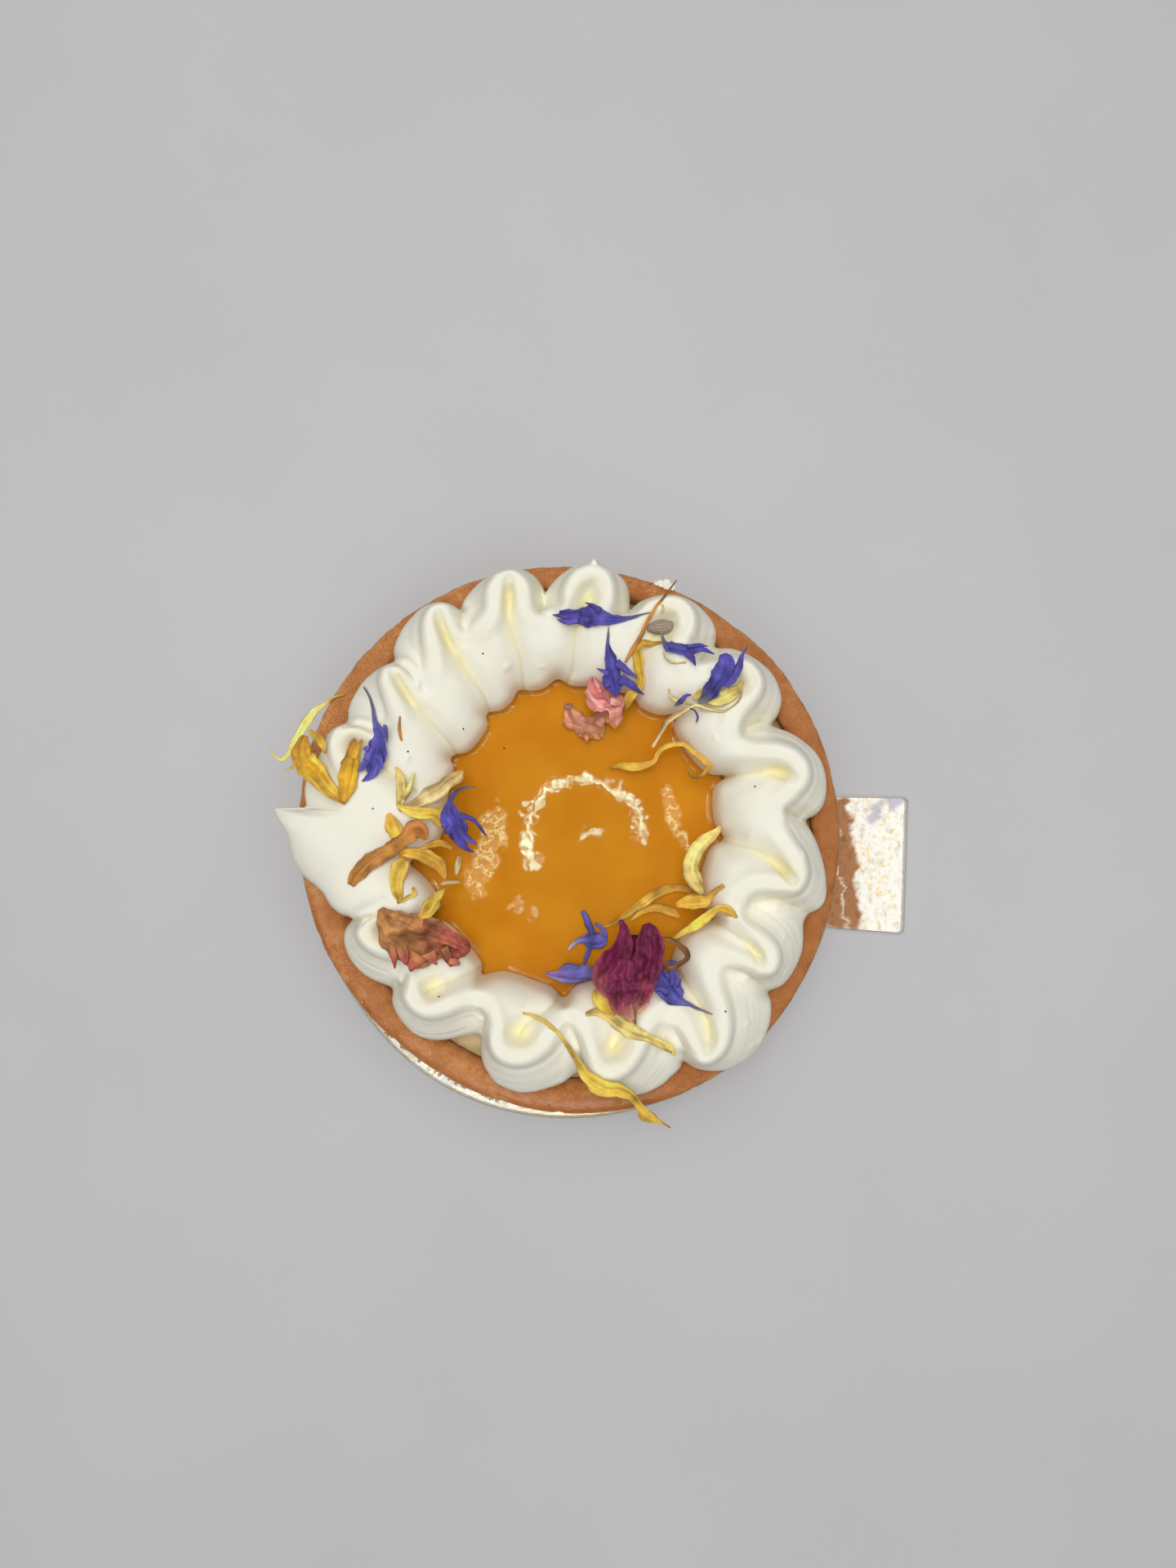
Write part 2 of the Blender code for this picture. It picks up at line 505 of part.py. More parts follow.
def add_gel(parent):
    """The round of citrus gel: slightly crowned, with a rounded edge."""
    sides, rings, rounding = 60, 3, 0.5
    share = np.linspace(1.0 / rings, 1.0, rings)[:, None]
    angle = np.arange(sides) * 2.0 * math.pi / sides
    crown_radius = GEL_RADIUS - rounding
    ripple = 0.04 * np.sin(2 * angle + 1.0) * share
    crown = GEL_EDGE_TOP + GEL_CROWN * (1.0 - share ** 2) + ripple
    radii = np.vstack([share * crown_radius + 0.0 * angle, GEL_RADIUS + 0.0 * angle,
                       GEL_RADIUS + 0.0 * angle])
    heights = np.vstack([crown, GEL_EDGE_TOP - rounding + 0.0 * angle, GEL_BASE + 0.0 * angle])
    gel = new_object("citrus_gel", turned_solid(radii, heights, sides, "citrus_gel"), "gel", parent)
    smooth(gel)
    return gel


def ring_outline(angle):
    """Inner and outer radius where the cream reaches its widest level, for each angle."""
    radius = np.arange(CARD_RADIUS / 3, CARD_RADIUS + 2.0, SEARCH_STEP)
    x, y = np.cos(angle)[:, None] * radius, np.sin(angle)[:, None] * radius
    height = cream_height(x, y)
    inside = height >= EDGE_LEVEL
    first = inside.argmax(axis=1)
    last = len(radius) - 1 - inside[:, ::-1].argmax(axis=1)
    column = np.arange(len(angle))

    def crossing(at, beside):
        here, there = height[column, at], height[column, beside]
        share = (here - EDGE_LEVEL) / np.maximum(here - there, 1e-6)
        return radius[at] + (radius[beside] - radius[at]) * np.clip(share, 0.0, 1.0)

    return crossing(first, first - 1), crossing(last, last + 1)


def add_cream(parent):
    """The ruffle of cream as one ring that is closed all round.

    The rows over the top take the height of the cream; the rows underneath follow the
    gel, the filling and, where the cream overhangs it, the rim of the shell.
    """
    tip_angle = math.atan2(TIP_RIDGE[-1, 1], TIP_RIDGE[-1, 0])
    angle = tip_angle + np.arange(RING_COLUMNS) * 2.0 * math.pi / RING_COLUMNS
    inner, outer = ring_outline(angle)
    even = np.linspace(0.0, 1.0, RING_ROWS + 1)
    share = 0.5 * even + 0.25 * (1.0 - np.cos(math.pi * even))
    radius = inner + (outer - inner) * share[:, None]
    height = cream_height(radius * np.cos(angle), radius * np.sin(angle))
    height[0], height[-1] = EDGE_LEVEL, EDGE_LEVEL
    height = np.maximum(height, EDGE_LEVEL)
    inside_wall = shell_radius(angle) - SHELL_WALL - 0.6
    over_rim = np.clip(outer - inside_wall, 0.0, 1.0)
    level = np.zeros(RING_COLUMNS)
    below = [
        (outer - 0.5, (EDGE_LEVEL - 0.9) + 0.1 * over_rim),
        (np.minimum(outer - 0.9, inside_wall + 0.1), 20.2 + (UNDERSIDE_OVER_RIM - 20.2) * over_rim),
        (np.minimum(outer - 1.4, inside_wall), GEL_BASE + level),
        (GEL_RADIUS + GAP + 0.2 + level, GEL_BASE + level),
        (GEL_RADIUS + GAP + level, UNDERSIDE_OVER_GEL + level),
        (np.minimum(inner + 1.2, GEL_RADIUS - 0.3), UNDERSIDE_OVER_GEL + level),
        (inner + 0.4, EDGE_LEVEL - 1.2 + level),
    ]
    radii = np.vstack([radius] + [row for row, _ in below])
    heights = np.vstack([height] + [row for _, row in below])
    points = np.stack([radii * np.cos(angle), radii * np.sin(angle), heights], axis=-1)
    rows = len(points)
    faces = []
    for row in range(rows):
        here, under = row * RING_COLUMNS, (row + 1) % rows * RING_COLUMNS
        for column in range(RING_COLUMNS):
            after = (column + 1) % RING_COLUMNS
            faces.append((here + column, under + column, under + after, here + after))
    cream = new_object("piped_cream", mesh_from(points.reshape(-1, 3), faces, "piped_cream"),
                       "cream", parent)
    smooth(cream, 80.0)
    return cream


# ---------------------------------------------------------------- petals
class Ground:
    """The heights that a new petal has to lie on: every piece laid before it."""

    def __init__(self, pieces):
        self.trees = [self.tree_of(piece) for piece in pieces]

    @staticmethod
    def tree_of(piece):
        """Search tree of a piece's finished shape, in metres."""
        depsgraph = bpy.context.evaluated_depsgraph_get()
        return BVHTree.FromObject(piece, depsgraph)

    def add(self, piece):
        """Let later petals lie on this piece too."""
        bpy.context.view_layer.update()
        self.trees.append(self.tree_of(piece))

    def height(self, x, y):
        """Highest surface under one plan point, in millimetres."""
        start = (x * MM, y * MM, 0.1)
        hits = [tree.ray_cast(start, (0.0, 0.0, -1.0))[0] for tree in self.trees]
        return max([hit.z / MM for hit in hits if hit is not None] + [OPEN_GROUND])

    def heights(self, x, y, reach):
        """Highest surface within a small reach of each plan point."""
        offsets = [(0, 0), (reach, 0), (-reach, 0), (0, reach), (0, -reach),
                   (0.7 * reach, 0.7 * reach), (-0.7 * reach, 0.7 * reach),
                   (0.7 * reach, -0.7 * reach), (-0.7 * reach, -0.7 * reach)]
        found = [max(self.height(px + dx, py + dy) for dx, dy in offsets)
                 for px, py in zip(x.ravel(), y.ravel())]
        return np.array(found).reshape(x.shape)


def smooth_spine(points, count):
    """Evenly spaced points on a smooth curve through the given plan points."""
    points = np.asarray(points)
    padded = np.vstack([2 * points[0] - points[1], points, 2 * points[-1] - points[-2]])
    t = np.linspace(0.0, 1.0, 9)[:-1, None]
    runs = []
    for a, b, c, d in zip(padded, padded[1:], padded[2:], padded[3:]):
        runs.append(0.5 * (2 * b + (c - a) * t + (2 * a - 5 * b + 4 * c - d) * t ** 2
                           + (3 * b - a - 3 * c + d) * t ** 3))
    curve = np.vstack(runs + [points[-1:]])
    length = np.append(0.0, np.cumsum(np.hypot(*np.diff(curve, axis=0).T)))
    wanted = np.linspace(0.0, length[-1], count)
    return np.column_stack([np.interp(wanted, length, curve[:, k]) for k in range(2)])


def width_share(form, u):
    """Half width along a petal, as a share of its widest half width."""
    if form == "strap":
        return 0.12 + 0.88 * np.sin(math.pi * u ** 0.85) ** 0.7
    if form == "floret":
        body = np.clip((u - 0.3) / 0.7, 0.0, 1.0)
        return 0.13 + 0.87 * np.sin(0.5 * math.pi * np.minimum(body * 1.6, 1.0)) * (1 - 0.25 * body)
    if form == "fan":
        return 0.15 + 0.85 * np.sin(0.5 * math.pi * u) ** 0.8
    return 1.0 - 0.6 * u ** 3


def petal_sheet(petal, ground):
    """Points of a petal: a grid along its spine, laid over what is under it.

    The end rows of a floret or a fan are drawn back between its teeth.  Each row lies on
    the highest ground across it, or hangs from a higher row at the petal's own droop;
    folds, ripples and raised ends are added, and no point sinks into the ground.
    """
    u = np.linspace(0.0, 1.0, petal.along + 1)
    v = np.linspace(-1.0, 1.0, petal.across + 1)
    fine = smooth_spine(plan_of(petal.picks, petal.level), 8 * petal.along + 1)
    length = np.hypot(*np.diff(fine, axis=0).T).sum()
    notch = np.zeros(len(v))
    if petal.form in ("floret", "fan"):
        notch[::2] = min(TOOTH / length, DEEPEST_NOTCH)
    place = u[:, None] - notch * u[:, None] ** 3
    along = np.linspace(0.0, 1.0, len(fine))
    heading = np.gradient(fine, axis=0)
    heading /= np.hypot(*heading.T)[:, None]
    middle = np.stack([np.interp(place, along, fine[:, k]) for k in range(2)], axis=-1)
    aim = np.stack([np.interp(place, along, heading[:, k]) for k in range(2)], axis=-1)
    half = petal.half * width_share(petal.form, u)[:, None]
    x = middle[..., 0] - aim[..., 1] * v * half
    y = middle[..., 1] + aim[..., 0] * v * half
    cell = 0.6 * max(length / petal.along, 2 * petal.half / petal.across)
    floor = ground.heights(x, y, cell) + PETAL_GAP
    apart = np.abs(u[:, None] - u) * length
    level = (floor.max(axis=1) - DROOP[petal.form] * apart).max(axis=1)
    relief = petal.fold * np.abs(v) * half
    relief = relief + petal.wave * np.sin(2 * math.pi * (1.5 * u[:, None] + 0.3 * v))
    relief = relief + petal.lift_a * (1 - u[:, None]) ** 3 + petal.lift_b * u[:, None] ** 3
    z = np.maximum(level[:, None] + np.maximum(relief, 0.0), floor)
    return np.stack([x, y, z], axis=-1)


def standing_thickness(sheet):
    """Upright distance between the faces of a sheet, so that slopes stay as thick."""
    lengthwise, crosswise = np.gradient(sheet, axis=0), np.gradient(sheet, axis=1)
    squares = [(run[..., 2] / np.hypot(run[..., 0], run[..., 1])) ** 2
               for run in (lengthwise, crosswise)]
    return PETAL_THICKNESS * np.minimum(np.sqrt(1.0 + sum(squares)), STEEPEST)


def add_petal(petal, ground, parent):
    """One dried petal, thread or floret: a thin wavy solid, both faces split alike."""
    lower = petal_sheet(petal, ground)
    upper = lower.copy()
    upper[..., 2] += standing_thickness(lower)
    rows, columns = lower.shape[:2]
    count = rows * columns
    faces = []
    for row in range(rows - 1):
        for column in range(columns - 1):
            a = row * columns + column
            b, c, d = a + columns, a + columns + 1, a + 1
            faces += [(a, c, b), (a, d, c)]
            faces += [(count + a, count + b, count + c), (count + a, count + c, count + d)]
    index = np.arange(count).reshape(rows, columns)
    rim = [*index[:-1, 0], *index[-1, :-1], *index[:0:-1, -1], *index[0, :0:-1]]
    for here, after in zip(rim, rim[1:] + rim[:1]):
        faces.append((int(here), int(after), int(count + after), int(count + here)))
    points = np.concatenate([lower.reshape(-1, 3), upper.reshape(-1, 3)])
    item = new_object(petal.name, mesh_from(points, faces, petal.name), petal.finish, parent)
    smooth(item, 60.0)
    return item


def add_seed_head(ground, parent):
    """The small grey seed head on the cream: a stretched ball with a blunt end."""
    shape = bmesh.new()
    bmesh.ops.create_uvsphere(shape, u_segments=12, v_segments=8, radius=1.0)
    mesh = bpy.data.meshes.new("seed_head")
    shape.to_mesh(mesh)
    shape.free()
    count = len(mesh.vertices)
    points = np.empty(count * 3)
    mesh.vertices.foreach_get("co", points)
    points = points.reshape(-1, 3) * SEED_HEAD_HALF
    points[:, 1] *= 1.0 + 0.12 * points[:, 0] / SEED_HEAD_HALF[0]
    heading = math.radians(SEED_HEAD_HEADING)
    middle = plan_of([SEED_HEAD_PICK], SEED_HEAD_LEVEL)[0]
    x, y = points[:, 0].copy(), points[:, 1].copy()
    points[:, 0] = x * math.cos(heading) - y * math.sin(heading) + middle[0]
    points[:, 1] = x * math.sin(heading) + y * math.cos(heading) + middle[1]
    floor = ground.heights(points[:, 0], points[:, 1], 0.3)
    points[:, 2] += (floor - points[:, 2]).max() + PETAL_GAP
    mesh.vertices.foreach_set("co", (points * MM).ravel())
    seed_head = new_object("seed_head", mesh, "grey", parent)
    smooth(seed_head, 80.0)
    return seed_head


def main():
    """Clear the scene and build the tart from the card upwards."""
    for item in list(bpy.data.objects):
        bpy.data.objects.remove(item)
    tart = bpy.data.objects.new("tart", None)
    bpy.context.scene.collection.objects.link(tart)
    add_card(tart)
    pieces = [add_shell(tart), add_filling(tart), add_gel(tart), add_cream(tart)]
    bpy.context.view_layer.update()
    ground = Ground(pieces)
    ground.add(add_seed_head(ground, tart))
    for petal in PETALS:
        ground.add(add_petal(petal, ground, tart))


main()
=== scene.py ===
"""Looks of a small round citrus tart on its gold cake card.

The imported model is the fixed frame: its origin is on the tart's axis on the underside of
the card, with +Z up.  Every shape here is worked out in millimetres as a surface of two
parameters, or read from a height map over the plan, and becomes metres when it is put
into a mesh.
"""

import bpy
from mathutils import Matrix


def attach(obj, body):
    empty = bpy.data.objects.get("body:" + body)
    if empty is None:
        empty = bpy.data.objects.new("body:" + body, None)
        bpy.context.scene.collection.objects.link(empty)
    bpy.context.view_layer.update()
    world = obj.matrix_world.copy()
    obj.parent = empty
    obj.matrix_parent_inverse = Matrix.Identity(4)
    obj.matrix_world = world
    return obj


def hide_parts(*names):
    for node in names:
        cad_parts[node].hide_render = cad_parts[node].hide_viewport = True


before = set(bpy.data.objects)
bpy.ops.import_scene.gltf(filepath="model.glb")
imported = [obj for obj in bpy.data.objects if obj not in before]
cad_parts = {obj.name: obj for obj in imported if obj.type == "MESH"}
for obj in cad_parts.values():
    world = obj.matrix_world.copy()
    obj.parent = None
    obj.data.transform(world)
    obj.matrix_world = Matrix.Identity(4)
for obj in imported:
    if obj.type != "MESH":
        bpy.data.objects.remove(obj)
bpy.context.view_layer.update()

import logging
import math
from dataclasses import dataclass, field
from enum import Enum
from typing import Optional, Sequence

import bpy
import numpy as np

Array = np.ndarray
Point = tuple[float, float]
Triple = tuple[float, float, float]
Colour = Triple
Ribbon = tuple[Triple, ...]

LOG = logging.getLogger("citrus_tart")
MM = 0.001
TURN = 2.0 * math.pi
BLACK: Colour = (0.0, 0.0, 0.0)
WHITE: Colour = (1.0, 1.0, 1.0)


# ---------------------------------------------------------------- plan maps and noise
class Noise:
    """Smooth random values between -1 and 1 at points in space, from one seed."""

    CELLS = 32

    def __init__(self, seed: int) -> None:
        """Draw the lattice of random values."""
        self.lattice = np.random.default_rng(seed).uniform(-1.0, 1.0, (self.CELLS,) * 3)

    def at(self, points: Array, cell: float) -> Array:
        """Blend the eight lattice values round each point by smooth shares.

        Args:
            points: positions, three numbers each, in millimetres.
            cell: the lattice spacing in millimetres.

        Returns:
            One value for each point.
        """
        place = points / cell
        low = np.floor(place).astype(int)
        share = place - low
        share = share * share * (3.0 - 2.0 * share)
        total = np.zeros(points.shape[:-1])
        for corner in np.ndindex(2, 2, 2):
            index = (low + corner) % self.CELLS
            weight = np.where(corner, share, 1.0 - share).prod(axis=-1)
            total += weight * self.lattice[index[..., 0], index[..., 1], index[..., 2]]
        return total

    def layered(self, points: Array, cell: float, layers: int) -> Array:
        """Sum noise of halving cells and halving height.

        Args:
            points: positions in millimetres.
            cell: the coarsest lattice spacing in millimetres.
            layers: how many cell sizes are summed.

        Returns:
            One value for each point.
        """
        return sum(self.at(points, cell / 2 ** k) / 2 ** k for k in range(layers))


class PlanMap:
    """A square height map over the plan, with its rows along Y and columns along X."""

    HALF = 47.0
    STEP = 0.1

    def __init__(self, start: float = 0.0) -> None:
        """Lay out the grid at one height.

        Args:
            start: the height in millimetres.
        """
        self.count = int(round(2 * self.HALF / self.STEP)) + 1
        line = np.linspace(-self.HALF, self.HALF, self.count)
        self.x, self.y = np.meshgrid(line, line)
        self.height = np.full(self.x.shape, start)

    def window(self, low: Array, high: Array) -> tuple[slice, slice]:
        """Slices of the grid that cover a rectangle of the plan.

        Args:
            low: least x and y in millimetres.
            high: greatest x and y in millimetres.

        Returns:
            The row slice and the column slice.
        """
        first = np.floor((np.asarray(low) + self.HALF) / self.STEP).astype(int)
        last = np.ceil((np.asarray(high) + self.HALF) / self.STEP).astype(int) + 1
        first, last = np.clip(first, 0, self.count), np.clip(last, 0, self.count)
        return slice(first[1], last[1]), slice(first[0], last[0])

    def sample(self, x: Array, y: Array, values: Optional[Array] = None) -> Array:
        """Values at plan points, blended between the four grid points round each.

        Args:
            x: plan coordinates in millimetres.
            y: plan coordinates in millimetres.
            values: a map of the grid's shape; the heights where it is left out.

        Returns:
            One value for each point.
        """
        values = self.height if values is None else values
        column = np.clip((x + self.HALF) / self.STEP, 0, self.count - 1.001)
        row = np.clip((y + self.HALF) / self.STEP, 0, self.count - 1.001)
        c, r = column.astype(int), row.astype(int)
        fc, fr = column - c, row - r
        return ((values[r, c] * (1 - fc) + values[r, c + 1] * fc) * (1 - fr)
                + (values[r + 1, c] * (1 - fc) + values[r + 1, c + 1] * fc) * fr)

    def raise_to(self, x: Array, y: Array, z: Array) -> None:
        """Raise the map wherever the points are higher than it is.

        Args:
            x: plan coordinates in millimetres.
            y: plan coordinates in millimetres.
            z: heights in millimetres.
        """
        column = np.clip(np.rint((x + self.HALF) / self.STEP), 0, self.count - 1).astype(int)
        row = np.clip(np.rint((y + self.HALF) / self.STEP), 0, self.count - 1).astype(int)
        np.maximum.at(self.height, (row.ravel(), column.ravel()), z.ravel())

    def softened(self, values: Array, radius: float) -> Array:
        """A map averaged with a bell-shaped weight of the given radius in millimetres.

        Args:
            values: a map of the grid's shape.
            radius: the bell's standard width.

        Returns:
            The averaged map.
        """
        steps = int(math.ceil(3 * radius / self.STEP))
        weight = np.exp(-0.5 * (np.arange(-steps, steps + 1) * self.STEP / radius) ** 2)
        weight /= weight.sum()
        size = values.shape[0] + 2 * steps
        spectrum = np.fft.rfft(weight, size)
        for axis in (0, 1):
            padded = np.fft.rfft(values, size, axis=axis)
            shape = [1, 1]
            shape[axis] = -1
            whole = np.fft.irfft(padded * spectrum.reshape(shape), size, axis=axis)
            values = np.take(whole, range(steps, steps + values.shape[axis]), axis=axis)
        return values


@dataclass(frozen=True)
class Picture:
    """The reference photo's frame and the place it was taken from.

    Picks are places on it, in pixels right and down of its corner.  Each
    pick's line of sight is followed down to a level, or to whatever lies under it.
    """

    width: float = 1440.0
    height: float = 1920.0
    focal: float = 1442.0
    eye: Triple = (2.36, 0.6, 196.0)
    pitch: float = 2.58

    def plan(self, picks: object, level: object) -> Array:
        """Plan places of picks that show something at a level.

        A line of sight runs on by the focal length and aside by the pick's distance from
        the middle of the frame, turned by the pitch.

        Args:
            picks: rows that start with a pick's two pixel numbers.
            level: one height, or one for each pick.

        Returns:
            One row of x and y for each pick.
        """
        middle = (self.width / 2, self.height / 2)
        right, down = (np.asarray(picks, dtype=float)[:, :2] - middle).T
        cos_pitch, sin_pitch = math.cos(math.radians(self.pitch)), math.sin(math.radians(self.pitch))
        onward = self.focal * sin_pitch - down * cos_pitch
        share = (self.eye[2] - level) / (self.focal * cos_pitch + down * sin_pitch)
        return np.column_stack([self.eye[0] + share * right, self.eye[1] + share * onward])

    def on_ground(self, picks: object, ground: PlanMap, heights: Optional[Array] = None) -> Array:
        """Places where the lines of sight of picks meet the ground.

        The level starts above the gel and moves towards the ground under the pick until it
        rests, a little above it.

        Args:
            picks: rows that start with a pick's two pixel numbers.
            ground: the plan map.
            heights: its heights, where they aren't the map's own.

        Returns:
            One row of x, y and height for each pick.
        """
        level, clear, lowest, edge = 25.0, 0.4, 20.4, ground.HALF - 0.1
        rounds, pull = 40, 0.25
        for _ in range(rounds):
            place = np.clip(self.plan(picks, level), -edge, edge)
            level = (1.0 - pull) * level + pull * (ground.sample(*place.T, heights) + clear)
        level = np.maximum(level, lowest)
        return np.column_stack([self.plan(picks, level), level])


@dataclass(frozen=True)
class Crop:
    """An enlarged part of the picture that picks were made on: its scale and its corner."""

    scale: float
    left: float
    top: float

    def whole(self, picks: object) -> Array:
        """The same picks as pixels of the whole picture."""
        return np.asarray(picks, dtype=float)[:, :2] / self.scale + (self.left, self.top)


PICTURE = Picture()
WHOLE = Crop(1.0, 0.0, 0.0)
LEFT_SIDE = Crop(3.0, 330.0, 830.0)
LOWER_SIDE = Crop(3.4, 640.0, 1060.0)
UPPER_SIDE = Crop(3.8, 660.0, 700.0)


def smooth_line(points: Sequence[Sequence[float]], count: int) -> Array:
    """Evenly spaced points on a smooth curve through the given ones.

    Between two points it is the cubic that passes both with the slopes of their
    neighbours.

    Args:
        points: x, y and any further values of each point.
        count: how many points are returned.

    Returns:
        One row of x, y and the further values for each point.
    """
    points = np.asarray(points, float)
    padded = np.vstack([2 * points[0] - points[1], points, 2 * points[-1] - points[-2]])
    steps = 16
    t = np.linspace(0.0, 1.0, steps + 1)[:-1, None]
    runs = [0.5 * (2 * b + (c - a) * t + (2 * a - 5 * b + 4 * c - d) * t ** 2
                   + (3 * b - a - 3 * c + d) * t ** 3)
            for a, b, c, d in zip(padded, padded[1:], padded[2:], padded[3:])]
    line = np.vstack(runs + [points[-1:]])
    length = np.append(0.0, np.cumsum(np.hypot(*np.diff(line[:, :2], axis=0).T)))
    wanted = np.linspace(0.0, length[-1], count)
    return np.column_stack([np.interp(wanted, length, column) for column in line.T])


def held(values: Array) -> Array:
    """Values held between 0 and 1."""
    return np.clip(values, 0.0, 1.0)


def along_and_across(x: Array, y: Array, heading: float) -> tuple[Array, Array]:
    """Distances along a heading in radians and across it, from distances in X and in Y."""
    return (x * math.cos(heading) + y * math.sin(heading),
            y * math.cos(heading) - x * math.sin(heading))


def round_points(angle: Array, radii: Array, heights: Array) -> Array:
    """Points in space from their angle about the axis, their radius and their height."""
    return np.stack([radii * np.cos(angle), radii * np.sin(angle), heights], axis=-1)


# ---------------------------------------------------------------- meshes
def grid_faces(rows: int, columns: int, closed_columns: bool, closed_rows: bool = False) -> Array:
    """Quads of a grid of points, with normals along (next row) x (next column).

    Args:
        rows: how many rows the grid has.
        columns: how many columns it has.
        closed_columns: whether the last column joins the first.
        closed_rows: whether the last row joins the first.

    Returns:
        Four vertex numbers for each quad.
    """
    r = np.arange(rows if closed_rows else rows - 1)[:, None]
    c = np.arange(columns if closed_columns else columns - 1)[None, :]
    below, after = (r + 1) % rows, (c + 1) % columns
    return np.stack([r * columns + c, below * columns + c, below * columns + after,
                     r * columns + after], axis=-1).reshape(-1, 4)


def put_mesh(name: str, points: Array, quads: Array, triangles: Optional[Array] = None,
             smooth: bool = True) -> bpy.types.Object:
    """Make an object at the origin from points in millimetres.

    Args:
        name: the piece's name.
        points: one row of three numbers for each vertex.
        quads: vertex numbers, four a face.
        triangles: vertex numbers, three a face.
        smooth: whether the faces are shaded smooth.

    Returns:
        The new object, linked into the scene.
    """
    triangles = np.zeros((0, 3), int) if triangles is None else triangles
    corners = np.concatenate([quads.ravel(), triangles.ravel()]).astype(np.int32)
    starts = np.concatenate([np.arange(len(quads)) * 4,
                             quads.size + np.arange(len(triangles)) * 3]).astype(np.int32)
    mesh = bpy.data.meshes.new(name)
    mesh.vertices.add(len(points))
    mesh.vertices.foreach_set("co", (points * MM).astype(np.float32).ravel())
    mesh.loops.add(len(corners))
    mesh.loops.foreach_set("vertex_index", corners)
    mesh.polygons.add(len(starts))
    mesh.polygons.foreach_set("loop_start", starts)
    mesh.polygons.foreach_set("use_smooth", np.full(len(starts), smooth))
    mesh.update(calc_edges=True)
    mesh.validate()
    item = bpy.data.objects.new(name, mesh)
    bpy.context.scene.collection.objects.link(item)
    return item


def put_values(item: bpy.types.Object, name: str, values: Array) -> None:
    """Store one number for each vertex as a named attribute."""
    layer = item.data.attributes.new(name, "FLOAT", "POINT")
    layer.data.foreach_set("value", np.ascontiguousarray(values, np.float32).ravel())


def put_colours(item: bpy.types.Object, name: str, colours: Array) -> None:
    """Store one colour for each vertex as a named attribute.

    Args:
        item: the object.
        name: the attribute's name.
        colours: one colour for each vertex.
    """
    layer = item.data.color_attributes.new(name, "FLOAT_COLOR", "POINT")
    whole = np.concatenate([colours, np.ones(colours.shape[:-1] + (1,))], axis=-1)
    layer.data.foreach_set("color", np.ascontiguousarray(whole, np.float32).ravel())


def capped(name: str, points: Array, sides: int) -> bpy.types.Object:
    """A closed surface from rows of points round an axis, with a pole past each end row.

    Args:
        name: the piece's name.
        points: the grid row by row, then the pole of the first row and that of the last.
        sides: how many points a row has.

    Returns:
        The new object.
    """
    rows = (len(points) - 2) // sides
    side = np.arange(sides)
    after = (side + 1) % sides
    last = (rows - 1) * sides
    caps = np.concatenate([
        np.stack([np.full(sides, rows * sides), side, after], axis=-1),
        np.stack([np.full(sides, rows * sides + 1), last + after, last + side], axis=-1)])
    return put_mesh(name, points, grid_faces(rows, sides, True), caps)


def turned(name: str, radii: Array, heights: Array) -> bpy.types.Object:
    """A closed surface turned about the tart's axis.

    The profile's points run from the top of the axis outwards and down to the bottom of
    the axis; a point on the axis closes each end.

    Args:
        name: the piece's name.
        radii: radius for each (profile point, side), in millimetres.
        heights: height for each (profile point, side), in millimetres.

    Returns:
        The new object, whose vertices are the grid row by row and then the two poles.
    """
    sides = radii.shape[1]
    grid = round_points(np.arange(sides) * TURN / sides, radii, heights)
    poles = [(0.0, 0.0, heights[0].mean()), (0.0, 0.0, heights[-1].mean())]
    return capped(name, np.vstack([grid.reshape(-1, 3), poles]), sides)


def joined(name: str, parts: Sequence[tuple[Array, Array]]) -> bpy.types.Object:
    """One object from several sets of points and quads.

    Args:
        name: the piece's name.
        parts: the points and the quads of each set.

    Returns:
        The new object.
    """
    shift = np.cumsum([0] + [len(points) for points, _ in parts[:-1]])
    points = np.concatenate([points for points, _ in parts])
    quads = np.concatenate([faces + first for (_, faces), first in zip(parts, shift)])
    return put_mesh(name, points, quads)


def hand_over(item: bpy.types.Object, finish: "Finish", slot: str,
              *nodes: str) -> bpy.types.Object:
    """Give a piece its material, its place on the body and the solids it stands for.

    Args:
        item: the finished piece.
        finish: the piece's finish.
        slot: the record's material slot.
        nodes: names of the solids that the piece replaces.

    Returns:
        The same piece.
    """
    item.data.materials.append(finish.material())
    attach(item, "root")
    if nodes:
        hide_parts(*nodes)
    LOG.info("%s: %d faces, %s", item.name, len(item.data.polygons), slot)
    return item


